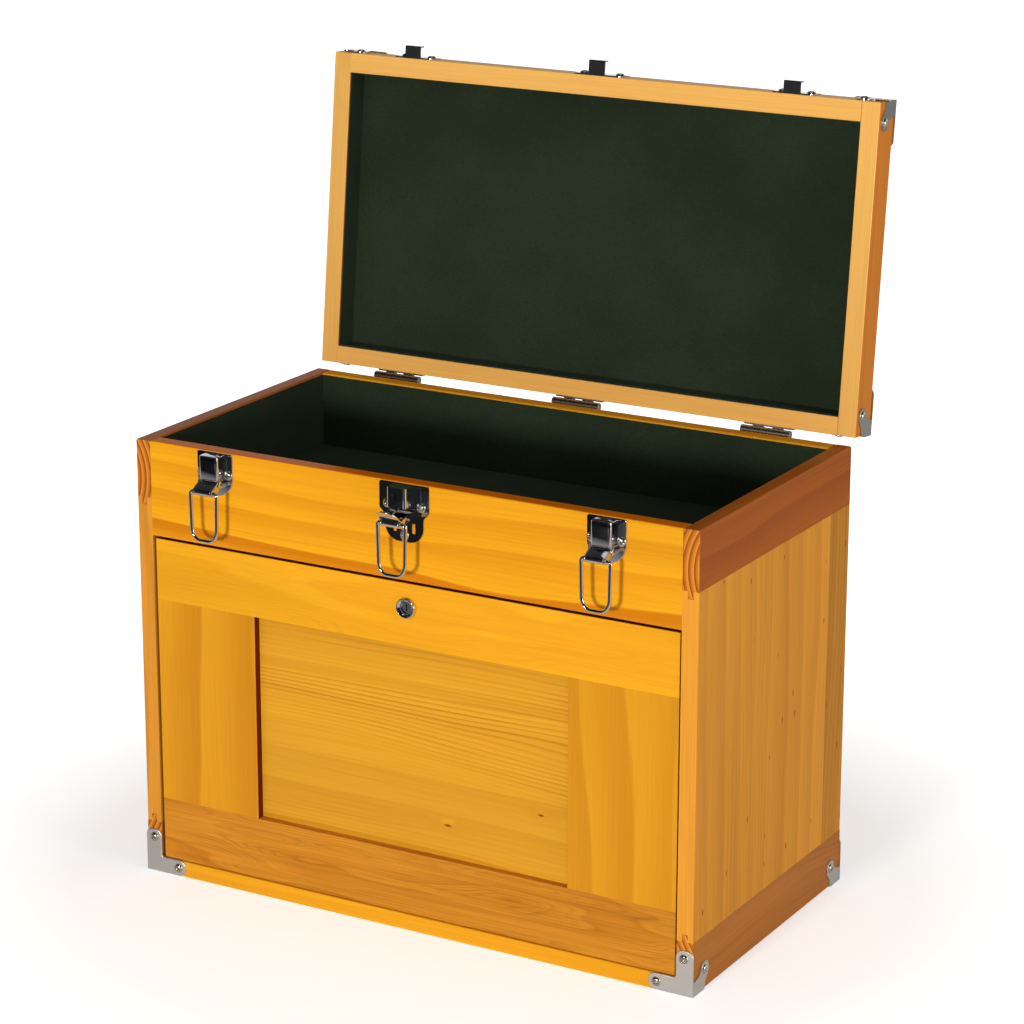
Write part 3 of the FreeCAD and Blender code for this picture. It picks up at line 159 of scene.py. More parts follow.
def pine(name, tones, grain, sawn, zone=24.0, zones=0.5, line=3.4, lines=0.25, swing=45.0,
         run=420.0, fibre=0.07, shift=0.0, knots=(), staves=None, on_lid=False, ends=None,
         ducts=0.0, least=0.25, cloud=0.12, tints=()):
    """Lacquered pine: soft broad tones and thin lines that flow along the grain.

    The level of a point is its place along the direction `sawn`, pushed about by a slow noise
    `run` long by as much as `swing`. Bands `zone` apart tint the wood from the first tone
    towards the second, and lines `line` apart draw patches of late wood in the third. All
    sizes are in millimetres. A knot is (place, size): levels rise round it, so the lines pass
    by it, and its eye is dark. Staves are (axis, [(start, tone, shift, lines)]), each a board
    of its own. `ends` is the pith that the rings of the end grain turn about. Tints are
    (axis, colour) for the faces that look along that axis, such as painted shade on an edge.
    """
    light, dark, late = map(linear, tones)

    def sockets(tree):
        board = millimetres(tree, on_lid)
        place = add(tree, "VectorMath", board, (shift * BOARD_STEP,) * 3)
        amount = lines
        if staves:
            axis, rows = staves
            low, high = rows[0][0], rows[-1][0]
            where = add(tree, "SeparateXYZ", board, out=axis)
            where = add(tree, "MapRange", where, low, high)
            spots = [(row[0] - low) / (high - low) for row in rows[:-1]]
            tone, own, amount = [
                add(tree, "ValToRGB", where, stops=list(zip(spots, column)))
                for column in list(zip(*rows[:-1]))[1:]]
            for made in (tone, own, amount):
                made.node.color_ramp.interpolation = "CONSTANT"
            place = add(tree, "VectorMath", own, (STAVE_STEP,) * 3, place,
                        operation="MULTIPLY_ADD")
        slow = stretched(tree, place, grain, run, run / 6)
        push = add(tree, "TexNoise", slow, Scale=1.0, Detail=2.0, Roughness=0.4)
        level = add(tree, "VectorMath", place, sawn, operation="DOT_PRODUCT", out="Value")
        level = add(tree, "Math", push, swing * 2, level, operation="MULTIPLY_ADD")
        eyes = 0.0
        # levels rise by three times a knot's size, from 3.5 sizes away; its eye fades out
        # between 0.15 and 0.45 of its size
        for middle, size in knots:
            off = add(tree, "VectorMath", board, middle, operation="SUBTRACT")
            away = add(tree, "VectorMath", stretched(tree, off, grain, 3.0 * size, size),
                       operation="LENGTH", out="Value")
            rise = add(tree, "MapRange", away, 0.0, 3.5, 3.0 * size, 0.0,
                       interpolation_type="SMOOTHERSTEP")
            level = add(tree, "Math", level, rise)
            eye = add(tree, "MapRange", away, 0.15, 0.45, 1.0, 0.0)
            eyes = add(tree, "Math", eyes, eye, operation="MAXIMUM")
        patch = add(tree, "TexNoise", slow, Scale=1.7, Detail=1.0)
        broad = growth(tree, level, zone, BROAD, least)
        wood = add(tree, "Mix", add(tree, "Math", broad, zones, operation="MULTIPLY"),
                   light, dark, **COLOURS)
        thin = growth(tree, level, line, THIN, 0.3)
        patch = add(tree, "ValToRGB", patch, stops=[(0.4, 0.15), (0.6, 1.0)])
        thin = add(tree, "Math", thin, patch, operation="MULTIPLY")
        wood = add(tree, "Mix", add(tree, "Math", thin, amount, operation="MULTIPLY"),
                   wood, late, **COLOURS)
        if ends:
            where = facing(tree, grain, on_lid)
            wood = add(tree, "Mix", where, wood, rings(tree, board, grain, ends), **COLOURS)
        # fibres about 0.4 mm wide, drawn 1.2 mm wide so that they show
        streak = add(tree, "TexNoise", stretched(tree, place, grain, 90.0, 1.2), Scale=1.0,
                     Detail=2.0, Roughness=0.6)
        patches = add(tree, "TexNoise", slow, Scale=0.6, Detail=2.0)
        for pattern, stops in ((streak, [(0.35, 1.0 - fibre), (0.6, 1.0)]),
                               (patches, [(0.38, 1.0 - cloud), (0.62, 1.0)])):
            shade = add(tree, "ValToRGB", pattern, stops=stops)
            wood = add(tree, "Mix", 1.0, wood, shade, **COLOURS, blend_type="MULTIPLY")
        if staves:
            wood = add(tree, "Mix", 1.0, wood, tone, **COLOURS, blend_type="MULTIPLY")
        if ducts:
            cells = stretched(tree, place, grain, 34.0, 11.0)
            spot = add(tree, "TexVoronoi", cells, Scale=1.0)
            spot = add(tree, "MapRange", spot, 0.05, 0.09, ducts, 0.0)
            eyes = add(tree, "Math", eyes, spot, operation="MAXIMUM")
        if knots or ducts:
            wood = add(tree, "Mix", eyes, wood, linear(RESIN), **COLOURS)
        # tints darken the faces that look along an axis: painted shade on gap edges and on the
        # lid's sides, and the browner rim
        for axis, colour in tints:
            wood = add(tree, "Mix", facing(tree, axis, on_lid), wood, linear(colour), **COLOURS,
                       blend_type="MULTIPLY")
        bump = add(tree, "Bump", Height=streak, Strength=0.05, Distance=0.3 * MM)
        # the wood's own sheen lies under the lacquer, which alone gleams
        return {"Base_Color": wood, "Normal": bump, "Roughness": 0.6,
                "Specular_IOR_Level": 0.0, "Coat_Weight": 0.28, "Coat_Roughness": 0.2}

    return finished(name, sockets)


def facing(tree, axis, on_lid):
    """1 on the faces that look within 41 degrees of the axis, 0 on the others."""
    normal = add(tree, "TexCoord", out="Normal")
    if on_lid:
        normal = add(tree, "VectorRotate", normal, Angle=LID_OPEN_ANGLE,
                     rotation_type="X_AXIS")
    along = add(tree, "Math", add(tree, "SeparateXYZ", normal, out=axis), operation="ABSOLUTE")
    return add(tree, "Math", along, 0.75, operation="GREATER_THAN")


def rings(tree, board, grain, pith, apart=4.2):
    """End grain: growth rings this far apart round a pith that lies outside the board."""
    spot = add(tree, "VectorMath", board, operation="ABSOLUTE")
    spot = add(tree, "VectorMath", spot, pith, operation="SUBTRACT")
    flat = [0.0 if axis == grain else 1.0 for axis in "XYZ"]
    spot = add(tree, "VectorMath", spot, flat, operation="MULTIPLY")
    distance = add(tree, "VectorMath", spot, operation="LENGTH", out="Value")
    year = add(tree, "Math", distance, apart, operation="DIVIDE")
    light, dark, late = END
    return add(tree, "ValToRGB", add(tree, "Math", year, operation="FRACT"),
               stops=[(0.0, light), (0.55, dark), (0.85, late), (0.93, late), (1.0, light)])


def plywood(name, face, edge, ply=1.5):
    """Unlacquered plywood: a pale dull face, its plies as level lines on each edge."""
    def sockets(tree):
        place = millimetres(tree)
        height = add(tree, "SeparateXYZ", place, out="Z")
        layer = add(tree, "Math", height, ply, operation="PINGPONG")
        dark = add(tree, "Math", layer, ply / 2, operation="LESS_THAN")
        up = add(tree, "SeparateXYZ", add(tree, "TexCoord", out="Normal"), out="Z")
        edge_on = add(tree, "Math", add(tree, "Math", up, operation="ABSOLUTE"), 0.5,
                      operation="LESS_THAN")
        grain = add(tree, "TexNoise", stretched(tree, place, "X", 80.0, 3.0), Scale=1.0)
        wood = add(tree, "Mix", grain, linear(face), linear(edge), **COLOURS)
        lines = add(tree, "Math", edge_on, dark, operation="MULTIPLY")
        wood = add(tree, "Mix", lines, wood, linear(edge), **COLOURS)
        return {"Base_Color": wood, "Roughness": 0.6}

    return finished(name, sockets)


def green_felt(name):
    """Dark pressed wool felt: no gloss, short tangled fibres, a faint fuzz at grazing."""
    def sockets(tree):
        place = millimetres(tree)
        # fibres about 0.05 mm thick, drawn as 1.5 mm tufts so that they show
        tuft = add(tree, "TexNoise", place, Scale=1 / 1.5, Detail=3.0, Roughness=0.7)
        cloud = add(tree, "TexNoise", place, Scale=1 / 90, Detail=3.0)
        wool = add(tree, "ValToRGB", cloud, stops=[(0.35, "#242D1D"), (0.65, "#2B3624")])
        shade = add(tree, "ValToRGB", tuft, stops=[(0.3, 0.75), (0.7, 1.05)])
        wool = add(tree, "Mix", 1.0, wool, shade, **COLOURS, blend_type="MULTIPLY")
        bump = add(tree, "Bump", Height=tuft, Strength=0.35, Distance=0.5 * MM)
        return {"Base_Color": wool, "Normal": bump, "Roughness": 0.95,
                "Specular_IOR_Level": 0.1, "Sheen_Weight": 0.12, "Sheen_Roughness": 0.5,
                "Sheen_Tint": linear("#8FA396")}

    return finished(name, sockets)


# ---- metals and plastic -------------------------------------------------------------------

def bare_metal(name, colour, roughness, uneven=0.0, grit=0.8):
    """A plated metal; unevenness varies its roughness over patches of the grit's size."""
    def sockets(tree):
        spread = roughness
        if uneven:
            patch = add(tree, "TexNoise", millimetres(tree), Scale=1 / grit, Detail=2.0)
            spread = add(tree, "MapRange", patch, 0.0, 1.0, roughness - uneven,
                         roughness + uneven)
        return {"Base_Color": linear(colour), "Metallic": 1.0, "Roughness": spread}

    return finished(name, sockets)


def moulded_grip(name):
    """Moulded black thermoplastic with a fine matt texture."""
    def sockets(tree):
        grain = add(tree, "TexNoise", millimetres(tree), Scale=1 / 0.6, Detail=1.0)
        bump = add(tree, "Bump", Height=grain, Strength=0.15, Distance=0.1 * MM)
        return {"Base_Color": linear("#17181A"), "Roughness": 0.5, "Normal": bump}

    return finished(name, sockets)


def paint(material, *labels):
    """The CAD nodes of these names take the material."""
    for label in labels:
        mesh = NODES[label].data
        mesh.materials.clear()
        mesh.materials.append(material)


# ---- finishes of the CAD nodes ------------------------------------------------------------

SIDES = ("left", "centre", "right")
SMALL_DRAWERS = [f"small_drawer_{row}_{side}" for row in (1, 2, 3)
                 for side in ("left", "right")]
WIDE_DRAWERS = ["wide_drawer_4", "wide_drawer_5"]

# early wood, the tone of a broad band, and a late-wood line
HONEY = ("#FAB022", "#E28A10", "#C06A12")
AMBER = ("#E69E20", "#CD8014", "#B06A12")
FIELD = ("#EDAA2C", "#DA921E", "#AE6C16")
BROWN = ("#BC6622", "#964616", "#7A3510")
RUST = ("#E0942A", "#C4721A", "#8E4A12")
STAVE = ("#F0A236", "#CC7C26", "#A65A1C")
PALE = ("#FBBE62", "#EEA04A", "#D6863A")
END = ("#EE9C36", "#CC7424", "#A04E16")
# painted shade on the edges round the panel's boards, for the shadowed gaps between them; and
# the rim that is a shade browner than the faces
PAINTED_GAP_SHADE = "#7A3C18"
BROWN_RIM = "#E8B48A"

# the directions that the levels of the growth rings follow, for the faces that show
UPRIGHT = (0.0, 0.3, 1.0)
SIDEWAYS = (1.0, 0.35, 0.0)
BACKWARD = (0.3, 1.0, 0.0)
SIDE_BAND = (0.35, 0.0, 1.0)
FLAT_LID = (0.0, 1.0, 0.4)


def finish_case():
    """Paints the boards of the case, the plywood inside it and both felts."""
    # clear pine: honey yellow with broad orange bands along the board
    paint(pine("rail_pine", ("#F8AC1C", "#CE7008", "#B85E0E"), "X", UPRIGHT, zone=25,
               zones=1.0, lines=0.1, swing=32, shift=0.3, least=0.1,
               tints=[("Z", BROWN_RIM)]), "front_rail")
    # red heartwood: a brown band with dark rings on its ends
    paint(pine("band_pine", BROWN, "Y", SIDE_BAND, zone=20, zones=0.7, lines=0.25, shift=0.7,
               ends=(262, 0, 296)), "case_side_top_bands")
    paint(pine("foot_band_pine", ("#C87E38", "#A86024", "#8A4A1A"), "Y", SIDE_BAND, zone=22,
               zones=0.6, lines=0.25, shift=1.9, ends=(262, 0, 60)), "case_side_bottom_bands")
    # glued staves: upright lines, a pale and a brown board, short dark resin ducts
    staves = [(-116, 1.02, 0.1, 0.4), (-51, 1.04, 0.45, 0.2), (-2, 0.94, 0.7, 0.25),
              (44, 1.17, 0.2, 0.12), (84, 0.82, 0.85, 0.35), (116, 1.0, 0.0, 0.0)]
    paint(pine("stave_pine", STAVE, "Z", BACKWARD, zone=23, zones=0.42, line=5.6, swing=34,
               run=560, fibre=0.1, staves=("Y", staves), ducts=0.8), "case_side_panels")
    # plain boards: even amber or honey with slow waves
    paint(pine("back_pine", AMBER, "X", UPRIGHT, zones=0.7, shift=4.1), "back_board")
    paint(pine("base_pine", HONEY, "X", UPRIGHT, zone=18, shift=2.2), "bottom_board")
    # raw plywood: pale and dull, with its plies along the edges
    paint(plywood("shelf_plywood", "#DDB57A", "#B98A50"), "compartment_floor", "slot_deck",
          "drawer_shelves", "centre_divider", "panel_stops")
    # pressed felt: a flat, nearly black green
    paint(green_felt("wool_felt"), "compartment_felt", "lid_felt")


def finish_panel():
    """Paints the frame and the field of the front panel."""
    # the head and the stiles: the smoothest wood, wide flames, painted gap shade on the edges
    paint(pine("panel_head_pine", HONEY, "X", UPRIGHT, zone=44, zones=0.8, lines=0.1,
               swing=70, run=260, shift=1.1,
               tints=[("Z", PAINTED_GAP_SHADE), ("X", PAINTED_GAP_SHADE)]), "panel_top_rail")
    paint(pine("stile_pine", AMBER, "Z", SIDEWAYS, zone=40, zones=0.8, lines=0.1, shift=0.2,
               tints=[("X", PAINTED_GAP_SHADE)]), "panel_stiles")
    # the field: three boards with sharp thin lines and two small knots
    boards = [(50, 1.0, 0.12, 0.3), (112, 0.98, 0.4, 0.7), (172, 0.96, 0.73, 0.85),
              (230, 1.0, 0.0, 0.0)]
    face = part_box("panel_field")[0][1] / MM
    knots = [((28, face, 81), 2.8), ((101, face, 103), 2.3)]
    paint(pine("field_pine", FIELD, "X", UPRIGHT, zone=30, zones=0.6, line=3.8, swing=30,
               run=520, staves=("Z", boards), knots=knots), "panel_field")
    # a rusty brown board, sawn aslant, so that its rings run out in long flames;
    # its ends are darkened as painted shade of the gaps beside the stiles
    paint(pine("panel_foot_wood", RUST, "X", UPRIGHT, zone=17, zones=0.85, line=3.2,
               lines=0.4, swing=62, run=190, shift=3.3, fibre=0.16,
               tints=[("X", PAINTED_GAP_SHADE)]), "panel_bottom_rail")


def finish_lid():
    """Paints the boards of the lid."""
    # paler pine with hardly a line, and rings on the ends of its sides;
    # the faces that look sideways are tinted darker as painted shade, for the side of the lid in
    # shade
    paint(pine("lid_side_pine", PALE, "Y", SIDE_BAND, on_lid=True, shift=0.4, lines=0.1,
               ends=(262, 0, 340), tints=[("X", "#E8BC88")]), "lid_side_walls")
    paint(pine("lid_rail_pine", PALE, "X", UPRIGHT, on_lid=True, shift=1.4, lines=0.1),
          "lid_front_wall", "lid_back_wall")
    paint(pine("lid_board_pine", AMBER, "X", FLAT_LID, on_lid=True, zones=0.7, shift=2.4),
          "lid_top_board")


def finish_drawers():
    """Paints the drawers and their knobs."""
    paint(pine("drawer_pine", PALE, "X", UPRIGHT, zone=18, shift=5.0),
          *SMALL_DRAWERS, *WIDE_DRAWERS)
    # turned and nickelled: a warm grey that mirrors softly
    paint(bare_metal("knob_nickel", "#BDB9B0", 0.22),
          *[f"{one}_knob" for one in SMALL_DRAWERS], *[f"{one}_knobs" for one in WIDE_DRAWERS])


def finish_hardware():
    """Paints the metal parts and the grip, and gives the chrome for the latches."""
    # tumbled nickel on steel sheet: light grey, with one wide blurred gleam
    paint(bare_metal("satin_nickel_sheet", "#D8D6D2", 0.45, uneven=0.05),
          "case_corner_brackets")
    # the same less tumbled: brighter and darker in turn, as it mirrors more
    paint(bare_metal("bright_nickel_sheet", "#C4C2BE", 0.22, uneven=0.04),
          "lid_corner_brackets")
    # rolled and dulled by handling: a brownish grey
    paint(bare_metal("hinge_nickel", "#A9A49B", 0.27, uneven=0.06),
          "hinge_case_leaves", "hinge_lid_leaves", "hinge_pins")
    paint(moulded_grip("grip_plastic"), "handle_grip")
    # bright chrome: a mirror, black where the room is dark and white at its rims
    chrome = bare_metal("latch_chrome", "#DCDEE2", 0.07)
    paint(chrome, "lid_strikes", "handle_mounts", "handle_rod", "latch_key_plug",
          "lock_barrel", "lock_plug",
          *[f"{side}_latch_{part}" for side in SIDES for part in ("plate", "lever", "bail")])
    return chrome


# ---- meshes -------------------------------------------------------------------------------

# points this close, in metres, are the same point
SAME_POINT = 0.001 * MM


def mesh_piece(name, parts, material, body, label):
    """A new piece at the origin that rides on the body in place of the labelled node.

    Each of its parts is (points in metres, faces), and they are joined as they are. The
    points that fall together at a pole or in a corner become one.
    """
    points, faces, count = [], [], 0
    for own, own_faces in parts:
        points.append(own)
        faces += [[corner + count for corner in face] for face in own_faces]
        count += len(own)
    mesh = bpy.data.meshes.new(name)
    mesh.from_pydata(np.concatenate(points).tolist(), [], faces)
    merged = bmesh.new()
    merged.from_mesh(mesh)
    bmesh.ops.remove_doubles(merged, verts=merged.verts, dist=SAME_POINT)
    merged.to_mesh(mesh)
    merged.free()
    mesh.materials.append(material)
    mesh.shade_smooth()
    piece = bpy.data.objects.new(name, mesh)
    bpy.context.scene.collection.objects.link(piece)
    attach(piece, body)
    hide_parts(label)


def closed(grid):
    """Points in metres and faces of a stack of rings, closed by a fan at each end.

    The grid is in millimetres, ring by ring. The sign of the volume, the sum of every
    face's triple products, tells whether the faces have to be turned round to look out.
    """
    rows, steps = grid.shape[:2]
    points = np.concatenate([grid.reshape(-1, 3), grid[:1].mean(1), grid[-1:].mean(1)])
    index = np.arange(rows * steps).reshape(rows, steps)
    over = np.roll(index, -1, 1)
    quads = np.stack([index[:-1], over[:-1], over[1:], index[1:]], -1).reshape(-1, 4)
    apex = np.full(steps, rows * steps)
    low = np.stack([over[0], index[0], apex], 1)
    high = np.stack([index[-1], over[-1], apex + 1], 1)
    fans = np.concatenate([low, high, quads[:, :3], quads[:, [0, 2, 3]]])
    a, b, c = (points[fans[:, corner]] - points[0] for corner in range(3))
    faces = quads.tolist() + low.tolist() + high.tolist()
    if (np.cross(a, b) * c).sum() < 0:
        faces = [face[::-1] for face in faces]
    return points * MM, faces


# ---- screws -------------------------------------------------------------------------------

def screw_places(label, reach=9 * MM):
    """Each plain CAD head as (foot centre, outward axis, radius, height).

    A head's points lie in a ring at its foot and a smaller one at its top; the axis is
    their direction of least spread, towards the smaller ring.
    """
    mesh = NODES[label].data
    points = np.empty(len(mesh.vertices) * 3)
    mesh.vertices.foreach_get("co", points)
    points = np.unique(points.reshape(-1, 3).round(7), axis=0)
    heads = []
    while len(points):
        close = np.linalg.norm(points - points[0], axis=1) < reach
        own, points = points[close], points[~close]
        middle = (own.min(0) + own.max(0)) / 2
        axis = np.linalg.svd(own - own.mean(0))[2][2]
        level = (own - middle) @ axis
        around = np.linalg.norm(own - middle - np.outer(level, axis), axis=1)
        if around[level > 0].max() > around[level < 0].max():
            axis, level = -axis, -level
        heads.append((middle + axis * level.min(), axis, around.max(), np.ptp(level)))
    return heads


# A recess in shares of the head's radius: the half width of an arm, how far its walls
# lean, its reach and how far its floor slopes up at the end; and its depth in heights.
ARM, ARM_WALL, ARM_REACH, ARM_SLOPE, RECESS = 0.15, 0.07, 0.62, 0.16, 0.62
# the share of the dome that drops steeply at the rim, a way that no screw looks, and the
# angle in radians from one screw's cross to the next one's
RIM = 0.45
OFF_AXIS = [0.3, 0.5, 0.81]
NEXT_TURN = 2.4


def cross_head(place, axis, radius, height, turned, circles=15, steps=48):
    """Points and quads of a domed head with a cross recess, turned about its axis.

    On a grid of radius and angle the height is a shallow circular dome that drops
    steeply to the rim, less a cross whose depth fades at the ends of its arms.
    """
    t = np.linspace(0, 1, circles)[:, None]
    angle = np.linspace(0, 2 * np.pi, steps, endpoint=False)[None, :]
    x, y = t * np.cos(angle), t * np.sin(angle)
    dome = (1 - t ** 4) ** 0.5 * RIM + (1 - t ** 2) * (1 - RIM)
    arm = np.minimum(abs(x), abs(y))
    length = np.maximum(abs(x), abs(y))
    walls = np.clip((ARM - arm) / ARM_WALL, 0, 1)
    z = dome - RECESS * walls * np.clip((ARM_REACH - length) / ARM_SLOPE, 0, 1)
    side = np.cross(axis, OFF_AXIS)
    side /= np.linalg.norm(side)
    other = np.cross(axis, side)
    first = side * math.cos(turned) + other * math.sin(turned)
    second = np.cross(axis, first)
    grid = place + radius * (x[..., None] * first + y[..., None] * second) \
        + height * z[..., None] * axis
    index = np.arange(circles * steps).reshape(circles, steps)
    over = np.roll(index, -1, 1)
    quads = np.stack([index[:-1], index[1:], over[1:], over[:-1]], -1).reshape(-1, 4)
    return grid.reshape(-1, 3), quads.tolist()


def make_screws():
    """The heads of the case and of the lid, each driven to an angle of its own."""
    # nickel plate on steel: small warm highlights on the dome, a black cross
    nickel = bare_metal("screw_nickel_plate", "#C9C3B6", 0.2)
    for body in ("case", "lid"):
        heads = [cross_head(*each, order * NEXT_TURN)
                 for order, each in enumerate(screw_places(f"{body}_screws"))]
        mesh_piece(f"{body}_screw_heads", heads, nickel, body, f"{body}_screws")


# ---- latches ------------------------------------------------------------------------------

# All in millimetres. How far the edges of the thin sheets and pins are eased.
EASE = 0.3
# The plate's half width, the depth of its round foot, its corners, sheet and easing.
PLATE_HALF, PLATE_FOOT, PLATE_CORNER, PLATE_SHEET, PLATE_EASE = 14.5, 13.2, 1.5, 1.2, 0.5
# The hump's half width, height, drop from the plate's head, front corners and easing; and
# the small corners of its back, with the depth in the plate at which they turn.
HUMP_HALF, HUMP_HEIGHT, HUMP_DROP, HUMP_ROUND, HUMP_EASE = 7.5, 16.8, 1.0, 2.0, 0.7
HUMP_BACK_CORNER, HUMP_BACK_DEPTH = 0.2, 0.4
EAR_INSET, EAR_SHEET, EAR_RADIUS, PIN_RADIUS = 8.2, 0.8, 2.6, 1.2
# The lever's half width and sheet, the round of its cheeks, the corners of its back, how
# far from the pin the first two turn, and the gap between the rolled end and each cheek.
LEVER_HALF, LEVER_SHEET, BOSS, LEVER_CORNER, BACK_START, ROLL_GAP = 8.0, 1.1, 2.5, 0.5, 0.6, 0.4
# The leaf's length, its rise, the corners of its root and the share that is round.
LEAF_LENGTH, LEAF_RISE, LEAF_CORNER, LEAF_ROUND = 14.0, math.radians(40), 0.4, 0.55
# The radius of the wire, where its tails end, how far its legs draw in, its bend at the
# eyes, and the flat half and the height of its round foot.
WIRE, TAIL, DRAW_IN, WIRE_BEND, FOOT_FLAT, FOOT_ROUND = 1.4, 6.6, 0.5, 2.0, 3.1, 8.5

ALONG_X, ALONG_Y, ALONG_Z = np.eye(3)


def arcs(*parts, steps=9):
    """An outline through elliptic arcs, joined by straight lines.

    Each part is the arc's middle u and v, its radii in u and v, and its two angles.
    """
    turn = np.linspace(0, 1, steps)
    pieces = []
    for u, v, wide, tall, start, end in parts:
        angle = np.radians(start + (end - start) * turn)
        pieces.append(np.stack([u + wide * np.cos(angle), v + tall * np.sin(angle)], 1))
    return np.concatenate(pieces)


def slab(outline, start, end, ease, origin, axes):
    """A flat outline as a slab, its edges eased by quarter circles.

    Each ring is the outline drawn in along its normals by ease (1 - sin a), at the level
    ease (1 - cos a) from its face. The axes are the directions of u, v and the thickness.
    """
    tangent = np.roll(outline, -1, 0) - np.roll(outline, 1, 0)
    tangent /= np.linalg.norm(tangent, axis=1, keepdims=True)
    normal = np.stack([tangent[:, 1], -tangent[:, 0]], 1)
    angle = np.linspace(0, np.pi / 2, 4)
    inset = ease * (1 - np.sin(angle))
    rise = ease * (1 - np.cos(angle))
    inset = np.concatenate([inset, inset[::-1]])
    level = np.concatenate([start + rise, (end - rise)[::-1]])
    flat = outline[None] - inset[:, None, None] * normal[None]
    u, v, w = axes
    return closed(origin + flat[..., :1] * u + flat[..., 1:] * v + level[:, None, None] * w)


def across(outline, start, end, middle):
    """A slab whose outline is in y and z, and whose thickness runs across the latch."""
    return slab(outline, start, end, EASE, (middle, 0, 0), (ALONG_Y, ALONG_Z, ALONG_X))


def cheeks(middle, near, far, radius, inner, sheet):
    """A slab round two points (y, z), with full round ends, on both sides of the middle."""
    way = math.degrees(math.atan2(far[1] - near[1], far[0] - near[0]))
    outline = arcs((*far, radius, radius, way - 90, way + 90),
                   (*near, radius, radius, way + 90, way + 270))
    return [across(outline, start, start + sheet, middle)
            for start in (inner, -inner - sheet)]


def rod(middle, place, radius, half):
    """A round pin or roll across the latch."""
    return across(arcs((*place, radius, radius, 0, 350), steps=24), -half, half, middle)


def shield_plate(low, high, pivot):
    """A plate with a full round foot, its hump, and the ears and pin of the lever."""
    middle, *pin = pivot
    face, head = high[1] - PLATE_SHEET, high[2]
    corner = PLATE_CORNER
    outline = arcs((0, low[2] + PLATE_FOOT, PLATE_HALF, PLATE_FOOT, 180, 360),
                   (PLATE_HALF - corner, head - corner, corner, corner, 0, 90),
                   (corner - PLATE_HALF, head - corner, corner, corner, 90, 180), steps=15)
    plate = slab(outline, face, high[1], PLATE_EASE, (middle, 0, 0),
                 (ALONG_X, ALONG_Z, ALONG_Y))
    front, back = low[1] + HUMP_ROUND, face + HUMP_BACK_DEPTH
    inner, corner = HUMP_HALF - HUMP_ROUND, HUMP_BACK_CORNER
    outline = arcs((-inner, front, HUMP_ROUND, HUMP_ROUND, 180, 270),
                   (inner, front, HUMP_ROUND, HUMP_ROUND, 270, 360),
                   (HUMP_HALF - corner, back, corner, corner, 0, 90),
                   (corner - HUMP_HALF, back, corner, corner, 90, 180))
    head -= HUMP_DROP
    hump = slab(outline, head - HUMP_HEIGHT, head, HUMP_EASE, (middle, 0, 0),
                (ALONG_X, ALONG_Y, ALONG_Z))
    ears = cheeks(middle, (face, pin[1]), pin, EAR_RADIUS, EAR_INSET, EAR_SHEET)
    return [plate, hump, *ears, rod(middle, pin, PIN_RADIUS, EAR_INSET + EAR_SHEET)]


def folded_lever(pivot, eye, leaf):
    """Two cheeks from the pin to the bail's eye, the back between them and its rolled end.

    Some levers have a leaf too, which is bent up out of the roll.
    """
    inner, corner = LEVER_HALF - LEVER_SHEET, LEVER_CORNER
    arm = eye - pivot
    length = np.linalg.norm(arm)
    along = arm / length
    above = np.cross(along, ALONG_X)
    above *= math.copysign(1, above[2])
    back = arcs((inner, length, corner, corner, 0, 90),
                (-inner, length, corner, corner, 90, 180),
                (-inner, BACK_START, corner, corner, 180, 270),
                (inner, BACK_START, corner, corner, 270, 360))
    parts = cheeks(pivot[0], pivot[1:], eye[1:], BOSS, inner, LEVER_SHEET)
    parts.append(slab(back, BOSS - LEVER_SHEET, BOSS, EASE, pivot,
                      (ALONG_X, along, above)))
    parts.append(rod(pivot[0], eye[1:], BOSS, inner - ROLL_GAP))
    if leaf:
        way = math.sin(LEAF_RISE) * ALONG_Z - math.cos(LEAF_RISE) * ALONG_Y
        over = math.cos(LEAF_RISE) * ALONG_Z + math.sin(LEAF_RISE) * ALONG_Y
        round_end, corner = LEAF_ROUND * LEAF_LENGTH, LEAF_CORNER
        outline = arcs((0, LEAF_LENGTH - round_end, LEVER_HALF, round_end, 0, 180),
                       (corner - LEVER_HALF, corner, corner, corner, 180, 270),
                       (LEVER_HALF - corner, corner, corner, corner, 270, 360), steps=17)
        root = eye + above * (BOSS - LEVER_SHEET)
        parts.append(slab(outline, 0, LEVER_SHEET, corner, root, (ALONG_X, way, over)))
    return parts


def wire_bail(low, high):
    """A round wire along a flat path: in at one eye, down a leg that draws in a little,
    round the foot by a quarter ellipse, and up again to the other eye.

    Each ring lies across the path: the path's point plus the radius times the cosine of an
    angle along the path's normal and times its sine along y.
    """
    middle, depth = (low[0] + high[0]) / 2, (low[1] + high[1]) / 2
    half = (high[0] - low[0]) / 2 - WIRE
    head, foot = high[2] - WIRE, low[2] + WIRE
    right = np.concatenate([
        [(TAIL, head)],
        arcs((half - WIRE_BEND, head - WIRE_BEND, WIRE_BEND, WIRE_BEND, 90, 0)),
        arcs((FOOT_FLAT, foot + FOOT_ROUND, half - DRAW_IN - FOOT_FLAT, FOOT_ROUND, 0, -90),
             steps=25)])
    flat = np.concatenate([right, (right * [-1, 1])[::-1]])
    way = np.gradient(flat, axis=0)
    way /= np.linalg.norm(way, axis=1, keepdims=True)
    normal = way[:, :1] * ALONG_Z - way[:, 1:] * ALONG_X
    path = (middle, depth, 0) + flat[:, :1] * ALONG_X + flat[:, 1:] * ALONG_Z
    angle = np.linspace(0, 2 * np.pi, 20, endpoint=False)[None, :, None]
    return [closed(path[:, None] + WIRE * (np.cos(angle) * normal[:, None]
                                           + np.sin(angle) * ALONG_Y))]


